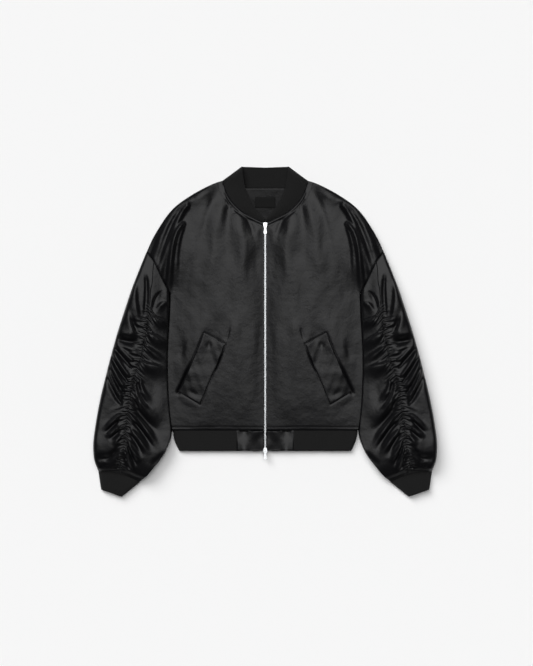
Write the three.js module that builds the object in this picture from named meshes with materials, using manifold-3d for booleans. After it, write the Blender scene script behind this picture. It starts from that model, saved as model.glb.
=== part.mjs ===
// A ruched-sleeve satin bomber jacket, zipped up and laid flat on its back.
// Millimetres. +X is the wearer's left, +Y points to the collar and +Z up from the table, where z is 0.
// Both halves are alike, so each piece is worked out for x above 0 and mirrored for the other side.
import * as THREE from 'three';
import * as BufferGeometryUtils from 'three/addons/utils/BufferGeometryUtils.js';
import Module from 'manifold-3d';

// Driving dimensions
const SATIN = 1.6;
const RIB = 2.4;
const SEAM_GAP = 0.3;
const CROWN = 22;
const SIDE_SEAM_Z = 8;
const EDGE_ROUND = 16;
const UNDER_ROUND = 12;

const HEM_SEAM_Y = -222;
const HEM_LENGTH = 46;
const HEM_TOP_Z = 11;
const HEM_ROUND = 9;
const PLACKET_WIDTH = 64;

const RIB_PITCH = 5;
const RIB_HEIGHT = 0.8;
const GATHER_PITCH = 10;
const GATHER_HEIGHT = 2.4;

const FRONT_EDGE_X = 3.2;
const ZIP_TOP_Y = 244;
const TAPE_INNER_X = 0.2;
const TAPE_WIDTH = 14;
const TAPE_THICK = 0.8;
const TAPE_UNDER = 1;
const CHAIN_WIDTH = 5.6;
const CHAIN_THICK = 2.2;
const SLIDER_LENGTH = 11;
const SLIDER_WIDTH = 8.6;
const PULL_LENGTH = 20;
const PULL_THICK = 1.2;
const TOP_SLIDER_Y = 238.5;
const BOTTOM_SLIDER_Y = -266;

const FACING = { low: 232, high: 319.5, halfLow: 34, halfHigh: 66, thick: 1.2 };
const LABEL = { width: 46, height: 25, y: 290, thick: 0.8 };
const NECK_TAPE = { half: 48, width: 4.6, y: 322.6, thick: 1.4 };

// Outlines of the left half, each a row for each point that its curve passes
const point = (x, y) => ({ x, y });
const SIDE_FOLD = [
  point(209.5, HEM_SEAM_Y), point(215, -181), point(218.5, -123), point(219.5, -80),
  point(219, -37), point(214.5, 48), point(213, 85),
];
const ARMHOLE = [point(213, 85), point(228, 114), point(238, 136), point(249, 158), point(266, 178)];
const SHOULDER = [
  point(95.5, 338.5), point(113, 333), point(149.5, 315), point(179, 297), point(202.5, 279),
  point(219, 261), point(231.5, 243), point(253, 207), point(266, 178),
];
const NECK_FRONT = [
  point(FRONT_EDGE_X, 244.5), point(23, 254), point(42, 263.5), point(59.5, 276.5),
  point(75, 293), point(88, 316.5), point(95.5, 338.5),
];
const NECK_BACK = [point(0, 326), point(40, 327), point(75, 331.5), point(95.5, 338.5)];
const COLLAR_FREE_FRONT = [point(1.5, 254), point(17, 270), point(34, 296), point(45.5, 325), point(52.3, 370.5)];
const COLLAR_FREE_BACK = [point(0, 368.5), point(28, 369.5), point(52.3, 370.5)];

// Cross sections of the sleeve from the armhole to the cuff seam: the outer and the inner edge,
// where the ruched seam crosses as a share of the way from inner to outer, and the height of the crown.
const section = (outerX, outerY, innerX, innerY, seam, crown) => ({ outerX, outerY, innerX, innerY, seam, crown });
const SLEEVE = [
  section(266, 178, 213.3, 85, 0.73, CROWN),
  section(284, 134, 215, 58, 0.57, 26),
  section(298, 98, 217.3, 22, 0.51, 29),
  section(316, 44, 220, -23, 0.467, 31),
  section(333, -10, 220.8, -77, 0.483, 32),
  section(352.5, -82, 219, -136, 0.557, 33),
  section(370, -154, 214, -199, 0.59, 33),
  section(380.5, -213, 212, -235, 0.59, 32),
  section(385, -253, 224, -271, 0.572, 29),
  section(383, -287, 246, -301.5, 0.563, 24),
  section(377, -305.5, 264, -323, 0.537, 18),
  section(374, -314, 281, -337, 0.487, 14),
];
const RUCHING_START = 0.2;
const SLEEVE_EDGE_ROUND = 24;
const FLAT_TURN = 0.6;

const CUFF = {
  seam: { outerX: 374, outerY: -314, innerX: 281, innerY: -337 },
  end: { outerX: 368, outerY: -354, innerX: 322, innerY: -370 },
  height: 13,
  round: 8,
};

// The largest folds: a ridge where height is above 0 and a trough where it is below
const fold = (fromX, fromY, midX, midY, toX, toY, width, height) => (
  { fromX, fromY, midX, midY, toX, toY, width, height }
);
const FOLDS = [
  fold(168, 290, 216, 236, 246, 168, 10, 4),
  fold(196, 250, 222, 210, 240, 150, 8, -4),
  fold(178, 240, 206, 206, 219, 112, 11, 4),
  fold(196, 190, 205, 146, 212, 95, 9, -4),
  fold(103, 303, 126, 248, 140, 150, 15, -3.5),
  fold(86, 286, 102, 220, 112, 120, 15, 3.5),
  fold(78, 276, 73, 220, 76, 140, 12, -3),
  fold(65, 264, 42, 217, 34, 165, 12, 3),
  fold(276, 112, 287, 58, 270, 12, 9, 4),
  fold(331, -4, 304, -14, 279, -28, 11, 4),
  fold(318, 20, 300, 12, 280, -4, 10, -3.5),
  fold(252, 44, 236, 30, 218, 12, 10, 4),
  fold(256, 22, 240, 8, 222, -10, 9, -4),
  fold(262, -14, 246, -12, 226, -36, 10, 4),
  fold(342, -32, 320, -66, 291, -106, 11, 4),
  fold(352, -60, 334, -110, 308, -150, 11, -4),
  fold(356, -86, 338, -138, 312, -168, 10, 3.5),
  fold(282, -98, 270, -158, 232, -206, 11, 4),
  fold(300, -150, 282, -186, 244, -240, 11, -4),
  fold(302, -181, 272, -204, 238, -262, 11, 4.5),
  fold(309, -218, 290, -246, 254, -290, 10, -4),
  fold(309, -236, 296, -264, 272, -300, 10, 4),
  fold(312, -180, 344, -200, 366, -232, 11, 5),
  fold(322, -216, 346, -232, 366, -254, 10, -4),
  fold(322, -254, 340, -264, 358, -280, 10, 4),
];

// Welted pocket on the front: its four corners, from the upper inner one round
const POCKET_CORNERS = [point(89, -28), point(136.5, -3), point(194, -135), point(146, -164)];
const POCKET_THICK = 2;
const POCKET_LIFT = 0.7;

// Curves, distances and rounding
const mix = (a, b, t) => a + (b - a) * t;
const clamp = (value, low, high) => Math.min(high, Math.max(low, value));
const smooth = (t) => clamp(t, 0, 1) ** 2 * (3 - 2 * clamp(t, 0, 1));
const gapBetween = (a, b) => Math.hypot(a.x - b.x, a.y - b.y);

/** A line of many short steps along the smooth curve that passes the points. */
function smoothLine(points) {
  const curve = new THREE.CatmullRomCurve3(points.map(({ x, y }) => new THREE.Vector3(x, y, 0)), false, 'centripetal');
  return curve.getPoints(points.length * 8).map(({ x, y }) => point(x, y));
}

/** The point at a share of a line's length. */
function pointAlong(line, share) {
  const steps = line.slice(1).map((to, i) => gapBetween(line[i], to));
  let left = clamp(share, 0, 1) * steps.reduce((sum, step) => sum + step, 0);
  let i = 0;
  while (i < steps.length - 1 && left > steps[i]) {
    left -= steps[i];
    i += 1;
  }
  const t = Math.min(1, left / steps[i]);
  return point(mix(line[i].x, line[i + 1].x, t), mix(line[i].y, line[i + 1].y, t));
}

/** The nearest distance from a place to a line, and how far along the line that is, from 0 to 1. */
function nearest(line, x, y) {
  let best = { gap: Infinity, along: 0 };
  for (let i = 0; i < line.length - 1; i += 1) {
    const dx = line[i + 1].x - line[i].x;
    const dy = line[i + 1].y - line[i].y;
    const t = clamp(((x - line[i].x) * dx + (y - line[i].y) * dy) / (dx * dx + dy * dy), 0, 1);
    const gap = Math.hypot(x - line[i].x - t * dx, y - line[i].y - t * dy);
    if (gap < best.gap) best = { gap, along: (i + t) / (line.length - 1) };
  }
  return best;
}

/** A quarter round: 0 at the edge, 1 from one radius inwards. */
const rise = (share) => Math.sqrt(1 - (1 - clamp(share, 0, 1)) ** 2);

const sideFold = smoothLine(SIDE_FOLD);
const armhole = smoothLine(ARMHOLE);
const shoulder = smoothLine(SHOULDER);
const neckFront = smoothLine(NECK_FRONT);
const neckBack = smoothLine(NECK_BACK);
const foldLines = FOLDS.map(({ fromX, fromY, midX, midY, toX, toY, width, height }) => {
  const bend = new THREE.QuadraticBezierCurve(
    new THREE.Vector2(fromX, fromY),
    new THREE.Vector2(2 * midX - (fromX + toX) / 2, 2 * midY - (fromY + toY) / 2),
    new THREE.Vector2(toX, toY),
  );
  return { line: bend.getPoints(8), width, height };
});

/** How far the folds lift the cloth at a place: a bell across each fold that fades at its ends. */
function foldsAt(x, y) {
  return foldLines.reduce((sum, { line, width, height }) => {
    const { gap, along } = nearest(line, x, y);
    return sum + height * Math.exp(-((gap / width) ** 2)) * Math.sqrt(Math.sin(Math.PI * along));
  }, 0);
}

// Cloth walls

/** Joins two lines of numbered points into a strip of triangles, whatever their numbers of points. */
function strip(a, b, triangles) {
  let i = 0;
  let j = 0;
  while (i < a.length - 1 || j < b.length - 1) {
    const stepA = i < a.length - 1 && (j === b.length - 1 || a[i + 1].at <= b[j + 1].at + 1e-9);
    triangles.push(a[i].id, b[j].id, stepA ? a[i + 1].id : b[j + 1].id);
    if (stepA) i += 1;
    else j += 1;
  }
}

/**
 * A cloth wall. place(u, v) is its outer face before any relief, outer and inner are the lines of points
 * of its two faces, and facing is -1 where the outer face looks against the cross product of u and v.
 */
function wall({ place, outer, inner = outer, thick = SATIN, relief, innerRelief, facing = 1, closed = false }) {
  const points = [];
  const triangles = [];
  const [uLow, uHigh] = [outer[0].u, outer.at(-1).u];
  const [vLow, vHigh] = [outer[0].vs[0], outer[0].vs.at(-1)];
  const step = 1e-4;
  const limit = (u) => (closed ? u : clamp(u, uLow, uHigh));

  function outward(u, v) {
    const alongU = place(limit(u + step), v).sub(place(limit(u - step), v));
    const alongV = place(u, Math.min(vHigh, v + step)).sub(place(u, Math.max(vLow, v - step)));
    return alongU.cross(alongV).normalize().multiplyScalar(facing);
  }

  function sheet(lines, lift) {
    const made = lines.slice(0, closed ? -1 : undefined).map(({ u, vs }) => vs.map((v) => {
      points.push(place(u, v).addScaledVector(outward(u, v), lift(u, v)));
      return { id: points.length - 1, at: v };
    }));
    return closed ? [...made, made[0]] : made;
  }

  const out = sheet(outer, (u, v) => (relief ? relief(u, v) : 0));
  const back = sheet(inner, (u, v) => -thick - (innerRelief ? innerRelief(u, v) : 0));
  const ends = (made, lines, pick) => made.map((line, i) => ({ id: line.at(pick).id, at: lines[i].u }));
  for (let i = 0; i < out.length - 1; i += 1) strip(out[i], out[i + 1], triangles);
  for (let i = 0; i < back.length - 1; i += 1) strip(back[i + 1], back[i], triangles);
  if (!closed) {
    strip(back[0], out[0], triangles);
    strip(out.at(-1), back.at(-1), triangles);
  }
  strip(ends(out, outer, 0), ends(back, inner, 0), triangles);
  strip(ends(back, inner, -1), ends(out, outer, -1), triangles);
  return bodyOf(points, facing > 0 ? triangles : flipped(triangles));
}

function flipped(triangles) {
  return triangles.map((id, k, all) => all[k - (k % 3) + ((3 - (k % 3)) % 3)]);
}

function bodyOf(points, triangles) {
  const geometry = new THREE.BufferGeometry().setFromPoints(points);
  geometry.setIndex(triangles);
  geometry.computeVertexNormals();
  return geometry;
}

/** The same piece for the other half. */
function mirrored(geometry) {
  const points = [];
  const { position } = geometry.attributes;
  for (let i = 0; i < position.count; i += 1) {
    points.push(new THREE.Vector3(-position.getX(i), position.getY(i), position.getZ(i)));
  }
  return bodyOf(points, flipped([...geometry.index.array]));
}

const evenly = (from, to, count) => Array.from({ length: count + 1 }, (_, i) => mix(from, to, i / count));
const lines = (us, vs) => us.map((u) => ({ u, vs }));

// Body: a half panel is a patch between its hem, side, shoulder with neck, and centre lines.
// u and v run from 0 to 1 over its flat part and from 1 to 2 round its side and shoulder edges.
const PANEL_WIDTH = 206;
const PANEL_LENGTH = 500;
const NECK_SHARE = 0.4;

/** A share that turns even steps from 1 to 2 into even angles round an edge. */
function edgeShare(t, size) {
  const round = EDGE_ROUND / size;
  return t < 1 ? t * (1 - round) : 1 - round * (1 - Math.sin((t - 1) * Math.PI / 2));
}

/** Where a half panel lies on the table, between its four boundary lines. */
function patch(neck, centreX) {
  const alongTop = (a) => (
    a < NECK_SHARE ? pointAlong(neck, a / NECK_SHARE) : pointAlong(shoulder, (a - NECK_SHARE) / (1 - NECK_SHARE))
  );
  const side = [...sideFold, ...armhole.slice(1)];
  const hem = [point(centreX, HEM_SEAM_Y), sideFold[0]];
  const centre = [hem[0], neck[0]];
  return (u, v) => {
    const a = edgeShare(u, PANEL_WIDTH);
    const b = edgeShare(v, PANEL_LENGTH);
    const [h, t, c, s] = [pointAlong(hem, a), alongTop(a), pointAlong(centre, b), pointAlong(side, b)];
    const corners = [hem[0], hem[1], neck[0], shoulder.at(-1)];
    const between = (k) => (1 - b) * h[k] + b * t[k] + (1 - a) * c[k] + a * s[k]
      - (1 - a) * (1 - b) * corners[0][k] - a * (1 - b) * corners[1][k]
      - (1 - a) * b * corners[2][k] - a * b * corners[3][k];
    return point(between('x'), between('y'));
  };
}

/** How much of its full height the body has at a place: 0 on the side and shoulder edges. */
const bodyShare = (x, y, round) => rise(nearest(sideFold, x, y).gap / round) * rise(nearest(shoulder, x, y).gap / round);

/** The height of the body's upper face: lower along the zip, the neck and the hem seam. */
function bodyTop(x, y) {
  const centre = Math.exp(-((x / 26) ** 2));
  const neck = Math.exp(-((nearest(neckFront, x, y).gap / 34) ** 2));
  const crown = CROWN - 6 * Math.max(centre, neck) + foldsAt(x, y);
  const hem = Math.exp(-(y - HEM_SEAM_Y) / 16);
  const height = mix(crown, HEM_TOP_Z, hem);
  return mix(SIDE_SEAM_Z, height, bodyShare(x, y, EDGE_ROUND));
}

const bodyUnder = (x, y) => SIDE_SEAM_Z * (1 - bodyShare(x, y, UNDER_ROUND));

const frontPatch = patch(neckFront, FRONT_EDGE_X);
const backPatch = patch(neckBack, 0);
const edgeSteps = [1.25, 1.6, 2];
const neckColumn = NECK_SHARE / (1 - EDGE_ROUND / PANEL_WIDTH);
const frontColumns = [0, 0.04, ...evenly(0.1, neckColumn, 5), ...evenly(neckColumn, 1, 6).slice(1), ...edgeSteps];
const backColumns = [...evenly(0, neckColumn, 4), 0.66, 0.83, 1, ...edgeSteps];
const frontRows = [0, 0.03, 0.07, 0.13, ...evenly(0.22, 0.48, 4), ...evenly(0.53, 1, 12), ...edgeSteps];

function makeFront() {
  const place = (u, v) => {
    const { x, y } = frontPatch(u, v);
    return new THREE.Vector3(x, y, bodyTop(x, y) + SEAM_GAP / 2);
  };
  return wall({ place, outer: lines(frontColumns, frontRows) });
}

function makeBack() {
  const rows = [0, 0.2, 0.4, 0.6, ...evenly(0.72, 1, 5), ...edgeSteps];
  const place = (u, v) => {
    const { x, y } = backPatch(Math.abs(u), v);
    return new THREE.Vector3(Math.sign(u) * x, y, Math.max(0, bodyUnder(x, y) - SEAM_GAP / 2));
  };
  const across = [...backColumns.slice(1).reverse().map((u) => -u), ...backColumns];
  return wall({ place, outer: lines(across, rows), facing: -1 });
}

// Sleeve: a flattened tube through its sections, cut into two panels at the ruched seam and at its inner edge
const sectionCurve = (...keys) => new THREE.CatmullRomCurve3(
  SLEEVE.map((row) => new THREE.Vector3(...keys.map((key) => row[key]))), false, 'centripetal',
);
const sleeveOuter = sectionCurve('outerX', 'outerY', 'crown');
const sleeveInner = sectionCurve('innerX', 'innerY', 'crown');
const seamTable = SLEEVE.map((row) => point(
  mix(row.innerX, row.outerX, row.seam),
  mix(row.innerY, row.outerY, row.seam),
));
const seamSteps = seamTable.slice(1).map((to, i) => gapBetween(seamTable[i], to));
const RUCHED_LENGTH = seamSteps.reduce((sum, step) => sum + step, 0);

/** The sleeve's section at a share of the seam's length. */
function sectionAt(t) {
  let left = clamp(t, 0, 1) * RUCHED_LENGTH;
  let i = 0;
  while (i < seamSteps.length - 1 && left > seamSteps[i]) {
    left -= seamSteps[i];
    i += 1;
  }
  const share = Math.min(1, left / seamSteps[i]);
  const k = (i + share) / seamSteps.length;
  const outer = sleeveOuter.getPoint(k);
  const inner = sleeveInner.getPoint(k);
  const seam = mix(SLEEVE[i].seam, SLEEVE[i + 1].seam, smooth(share));
  return { outer, inner, seam, crown: outer.z, width: gapBetween(outer, inner) };
}

const ARMHOLE_GAP = 0.9;
const OFF_ARMHOLE = new THREE.Vector2(0.87, -0.49).multiplyScalar(ARMHOLE_GAP);

/** A point of the sleeve. s runs from its inner edge, 0, to its outer edge, 1, on the top or the under face. */
function sleevePoint(s, t, onTop) {
  const { outer, inner, crown, width } = sectionAt(t);
  const atArmhole = 1 - smooth(t / 0.15);
  const seamLine = pointAlong(armhole, s);
  const chord = point(mix(ARMHOLE[0].x, ARMHOLE.at(-1).x, s), mix(ARMHOLE[0].y, ARMHOLE.at(-1).y, s));
  const x = mix(inner.x, outer.x, s) + (seamLine.x - chord.x + OFF_ARMHOLE.x) * atArmhole;
  const y = mix(inner.y, outer.y, s) + (seamLine.y - chord.y + OFF_ARMHOLE.y) * atArmhole;
  const round = mix(onTop ? EDGE_ROUND : UNDER_ROUND, SLEEVE_EDGE_ROUND, smooth(t / 0.3) * (onTop ? 1 : 0.3));
  const middle = Math.min(SIDE_SEAM_Z, crown * 0.5);
  const share = rise(s * width / round) * rise((1 - s) * width / round);
  const z = onTop ? mix(middle, crown + foldsAt(x, y), share) + SEAM_GAP / 2 : middle * (1 - share) - SEAM_GAP / 2;
  return new THREE.Vector3(x, y, Math.max(0, z));
}

/** The share of the section at a turn from 0 to 1 that ends in the rounded edge. */
function edgeTurn(turn, from, to, t) {
  const { width } = sectionAt(t);
  const round = SLEEVE_EDGE_ROUND / width * Math.sign(to - from);
  const flat = to - round;
  if (turn < FLAT_TURN) return mix(from, flat, turn / FLAT_TURN);
  return to - round * (1 - Math.sin((turn - FLAT_TURN) / (1 - FLAT_TURN) * Math.PI / 2));
}

const sleeveRows = evenly(0, 1, 30);
const underRows = evenly(0, 1, 15);
const gatherRows = evenly(0, 1, 2 * Math.round(RUCHED_LENGTH / GATHER_PITCH));
const RUCHED_BAND = 16;

/** The gathers beside the ruched seam: every other row of points stands up, and they fade away from the seam. */
function gather(fromSeam, t) {
  const odd = Math.round(t * (gatherRows.length - 1)) % 2;
  const along = smooth((t - RUCHING_START) / 0.06) * (t < 1 ? 1 : 0);
  const across = Math.sin(Math.PI * clamp(fromSeam / RUCHED_BAND, 0, 1)) * 0.9 + 0.1;
  return fromSeam > RUCHED_BAND - 1 ? 0 : GATHER_HEIGHT * odd * along * across;
}

function makeSleevePanel(isOuter) {
  const edge = isOuter ? 1 : 0;
  const away = isOuter ? 1 : -1;
  const place = (u, t) => {
    if (u > 1) {
      const turn = u < 2 ? 1 - edgeTurn(2 - u, 0.5, 0, t) : edgeTurn(u - 2, 0.5, 0, t);
      return sleevePoint(clamp(turn, 0, 1), t, false);
    }
    const { seam, width } = sectionAt(t);
    const start = seam + away * SEAM_GAP / 2 / width;
    return sleevePoint(clamp(edgeTurn(u, start, edge, t), 0, 1), t, true);
  };
  const relief = (u, t) => {
    if (u > 0.5) return 0;
    const { seam, width } = sectionAt(t);
    return gather(Math.abs(edgeTurn(u, seam, edge, t) - seam) * width, t);
  };
  const flat = [0.2, 0.33, 0.46, FLAT_TURN].map((u) => ({ u, vs: sleeveRows }));
  const round = [0.75, 0.88, 1].map((u) => ({ u, vs: sleeveRows }));
  const seamLines = (vs) => [{ u: 0, vs }, { u: 0.05, vs }, { u: 0.11, vs }];
  const under = isOuter ? [1.15, 1.4, 1.7, 2, 2.3, 2.6, 2.85, 3].map((u) => ({ u, vs: underRows })) : [];
  const rest = [...flat, ...round, ...under];
  return wall({
    place,
    outer: [...seamLines(gatherRows), ...rest],
    inner: [{ u: 0, vs: sleeveRows }, ...rest],
    relief,
    facing: isOuter ? -1 : 1,
  });
}

// Rib knit: the collar, the hem band and the cuffs

/** Rib lines between two values of u: every other line of points is raised. */
function ribLines(from, to, length, vs) {
  const count = 2 * Math.round(length / RIB_PITCH);
  return evenly(from, to, count).map((u, i) => ({ u, vs, raised: i % 2 === 1 }));
}

function ribRelief(ribs) {
  const raised = new Set(ribs.filter((line) => line.raised).map((line) => line.u));
  return (u) => (raised.has(u) ? RIB_HEIGHT : 0);
}

const freeFront = smoothLine(COLLAR_FREE_FRONT);
const freeBack = smoothLine(COLLAR_FREE_BACK);
const COLLAR_ROUND = 12;
const COLLAR_FREE_Z = 15;
const COLLAR_FREE_MIDDLE = 5.5;
const NECK_SEAM_GAP = 0.9;
const NECK_CENTRE = point(0, 335);
const neckEdge = (columns, panel) => columns.filter((u) => u <= neckColumn + 1e-6).map((u) => panel(u, 2));
const frontNeckEdge = neckEdge(frontColumns, frontPatch);
const backNeckEdge = neckEdge(backColumns, backPatch);

/** A point of the collar. u runs from the zip, 0, over the side fold, 1, to the middle of the back, 2, and v up to its free edge. */
function collarPoint(u, v) {
  const front = u < 1;
  const turn = front ? u : 2 - u;
  const share = Math.sin(turn * Math.PI / 2) ** 1.3;
  const seam = pointAlong(front ? frontNeckEdge : backNeckEdge, share);
  const free = pointAlong(front ? freeFront : freeBack, share);
  const seamZ = front ? bodyTop(seam.x, seam.y) : bodyUnder(seam.x, seam.y);
  const open = rise(gapBetween(free, freeFront.at(-1)) / COLLAR_ROUND);
  const freeZ = front ? mix(COLLAR_FREE_MIDDLE, COLLAR_FREE_Z, open) : COLLAR_FREE_MIDDLE * (1 - open);
  const away = gapBetween(seam, NECK_CENTRE) || 1;
  const inwards = NECK_SEAM_GAP / away;
  const x = seam.x + (NECK_CENTRE.x - seam.x) * inwards;
  const y = front ? seam.y + (NECK_CENTRE.y - seam.y) * inwards : seam.y + 1.5 * NECK_SEAM_GAP;
  const swell = front ? 2 * Math.sin(Math.PI * v) * open : 0;
  return new THREE.Vector3(mix(x, free.x, v), mix(y, free.y, v), Math.max(0, mix(seamZ, freeZ, v) + swell));
}

function makeCollar() {
  const place = (u, v) => {
    const p = collarPoint(u > 2 ? 4 - u : u, v);
    return u > 2 ? new THREE.Vector3(-p.x, p.y, p.z) : p;
  };
  const rows = [0, 0.5, 1];
  const ends = [0, 1];
  const front = ribLines(0, 1, 140, rows);
  const otherFront = front.map((line) => ({ ...line, u: 4 - line.u })).reverse();
  const back = ribLines(1, 3, 190, rows).slice(1, -1);
  const plainBack = evenly(1, 3, 24).slice(1, -1).map((u) => ({ u, vs: ends }));
  const plainFront = evenly(0, 1, 20).map((u) => ({ u, vs: rows }));
  const otherPlainFront = plainFront.map(({ u, vs }) => ({ u: 4 - u, vs })).reverse();
  return wall({
    place,
    outer: [...front, ...plainBack, ...otherFront],
    inner: [...plainFront, ...back, ...otherPlainFront],
    relief: ribRelief([...front, ...otherFront]),
    innerRelief: ribRelief(back),
    thick: RIB,
  });
}

/** Half the width of the hem band: it draws in towards its lower edge. */
const hemHalfWidth = (v) => 206.5 - 14 * v * v;
const hemY = (v) => HEM_SEAM_Y - SEAM_GAP - (HEM_LENGTH - SEAM_GAP) * v;

/** A point of the hem band. u runs from the placket, 0, over its side, 1 to 2, to the middle of the back, 3. */
function hemPoint(u, v) {
  const side = hemHalfWidth(v) - HEM_ROUND;
  const half = HEM_TOP_Z / 2;
  if (u < 1) return new THREE.Vector3(mix(PLACKET_WIDTH + SEAM_GAP, side, u), hemY(v), HEM_TOP_Z);
  if (u > 2) return new THREE.Vector3(mix(side, 0, u - 2), hemY(v), 0);
  const angle = (u - 1.5) * Math.PI;
  return new THREE.Vector3(side + HEM_ROUND * Math.cos(angle), hemY(v), half - half * Math.sin(angle));
}

function makeHemRib() {
  const place = (u, v) => {
    const p = hemPoint(u > 3 ? 6 - u : u, v);
    return u > 3 ? new THREE.Vector3(-p.x, p.y, p.z) : p;
  };
  const rows = [0, 0.5, 1];
  const front = ribLines(0, 1, 134, rows);
  const round = [1.2, 1.4, 1.6, 1.8].map((u) => ({ u, vs: rows }));
  const under = [2, 2.5].map((u) => ({ u, vs: rows }));
  const half = [...front, ...round, ...under];
  const innerHalf = [0, 0.5, 1].map((u) => ({ u, vs: rows })).concat(round, under);
  const both = (part) => [...part, { u: 3, vs: rows }, ...part.map((line) => ({ ...line, u: 6 - line.u })).reverse()];
  return wall({
    place, outer: both(half), inner: both(innerHalf), relief: ribRelief(both(front)), thick: RIB, facing: -1,
  });
}

/** A point of the cuff. u runs once round it: 0 to 2 over the top from the inner to the outer edge, 2 to 4 back underneath. */
function cuffPoint(u, v) {
  const turn = ((u % 4) + 4) % 4;
  const onTop = turn < 2;
  const w = onTop ? turn / 2 : (4 - turn) / 2;
  const s = (1 - Math.cos(w * Math.PI)) / 2;
  const key = (name) => mix(CUFF.seam[name], CUFF.end[name], v);
  const inner = point(key('innerX'), key('innerY'));
  const outer = point(key('outerX'), key('outerY'));
  const share = rise(s * gapBetween(inner, outer) / CUFF.round) * rise((1 - s) * gapBetween(inner, outer) / CUFF.round);
  const half = CUFF.height / 2;
  const z = onTop ? half + half * share : half - half * share;
  const offSeam = 0.9;
  return new THREE.Vector3(mix(inner.x, outer.x, s) + 0.24 * offSeam, mix(inner.y, outer.y, s) - 0.97 * offSeam, z);
}

function makeCuff() {
  const rows = [0, 0.5, 1];
  const round = [0, 0.12, 0.26].map((u) => ({ u, vs: rows }));
  const top = ribLines(0.4, 1.6, 80, rows);
  const otherRound = [1.74, 1.88, 2, 2.12, 2.26].map((u) => ({ u, vs: rows }));
  const under = [2.4, 3, 3.6, 3.74, 3.88, 4].map((u) => ({ u, vs: rows }));
  const innerTop = [0.4, 1, 1.6].map((u) => ({ u, vs: rows }));
  return wall({
    place: cuffPoint,
    outer: [...round, ...top, ...otherRound, ...under],
    inner: [...round, ...innerTop, ...otherRound, ...under],
    relief: ribRelief(top),
    thick: RIB,
    facing: -1,
    closed: true,
  });
}

// Pieces that lie on or under the fronts
function makePocket() {
  const [innerTop, outerTop, outerLow, innerLow] = POCKET_CORNERS;
  const place = (u, v) => {
    const x = mix(mix(innerTop.x, outerTop.x, u), mix(innerLow.x, outerLow.x, u), v);
    const y = mix(mix(innerTop.y, outerTop.y, u), mix(innerLow.y, outerLow.y, u), v);
    const edge = rise(4 * Math.min(u, 1 - u)) * rise(8 * Math.min(v, 1 - v));
    return new THREE.Vector3(x, y, bodyTop(x, y) + POCKET_LIFT + mix(POCKET_THICK * 0.7, POCKET_THICK, edge));
  };
  const us = [0, 0.08, 0.25, 0.5, 0.75, 0.92, 1];
  const vs = [0, 0.04, ...evenly(0.12, 0.88, 8), 0.96, 1];
  return wall({ place, outer: lines(us, vs), thick: POCKET_THICK * 0.7, facing: -1 });
}

const zipRows = [...frontRows.filter((v) => v < 1).map((v) => mix(HEM_SEAM_Y, ZIP_TOP_Y, v)), ZIP_TOP_Y];
const zipZ = (y) => bodyTop(FRONT_EDGE_X, Math.max(y, HEM_SEAM_Y)) + SEAM_GAP / 2;

function makeTape() {
  const place = (u, v) => new THREE.Vector3(
    mix(TAPE_INNER_X, TAPE_WIDTH, u),
    v,
    bodyTop(mix(TAPE_INNER_X, TAPE_WIDTH, u), Math.max(v, HEM_SEAM_Y)) - SATIN - TAPE_UNDER,
  );
  const rows = [HEM_SEAM_Y - HEM_LENGTH + 1, HEM_SEAM_Y - 2, ...zipRows];
  return wall({ place, outer: lines([0, 0.5, 1], rows), thick: TAPE_THICK });
}

function makePlacket() {
  const place = (u, v) => new THREE.Vector3(mix(FRONT_EDGE_X, PLACKET_WIDTH, u), hemY(1 - v), HEM_TOP_Z);
  return wall({ place, outer: lines([0, 0.5, 1], [0, 0.1, 0.9, 1]) });
}

function makeChain() {
  const half = CHAIN_WIDTH / 2;
  const from = BOTTOM_SLIDER_Y + SLIDER_LENGTH / 2 + SEAM_GAP;
  const to = TOP_SLIDER_Y - SLIDER_LENGTH / 2 - SEAM_GAP;
  const rows = [from, ...zipRows.filter((y) => y > from + 2 && y < to - 2), to];
  const place = (u, v) => new THREE.Vector3(mix(-half, half, u), v, zipZ(v) + 0.6);
  return wall({ place, outer: lines([0, 1], rows), thick: CHAIN_THICK });
}

const wasm = await Module();
wasm.setup();

function toManifold(geometry) {
  const bare = geometry.clone();
  bare.deleteAttribute('normal');
  bare.deleteAttribute('uv');
  const merged = BufferGeometryUtils.mergeVertices(bare);
  return new wasm.Manifold(new wasm.Mesh({
    numProp: 3,
    vertProperties: new Float32Array(merged.attributes.position.array),
    triVerts: new Uint32Array(merged.index.array),
  }));
}

function joined(...geometries) {
  const { numProp, vertProperties, triVerts } = geometries.map(toManifold).reduce((a, b) => a.add(b)).getMesh();
  const geometry = new THREE.BufferGeometry();
  geometry.setAttribute('position', new THREE.BufferAttribute(new Float32Array(vertProperties), numProp));
  geometry.setIndex(new THREE.BufferAttribute(new Uint32Array(triVerts), 1));
  geometry.computeVertexNormals();
  return geometry;
}

/** A flat shape through points with its corners left sharp. */
const outline = (...pairs) => new THREE.Shape(pairs.map(([x, y]) => new THREE.Vector2(x, y)));
const extruded = (shape, depth) => new THREE.ExtrudeGeometry(shape, { depth, bevelEnabled: false, curveSegments: 6 });

const PLATE_THICK = 1.3;
const PIVOT_Z = 1.1;
const BRIDGE_WIDTH = 2;

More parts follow.
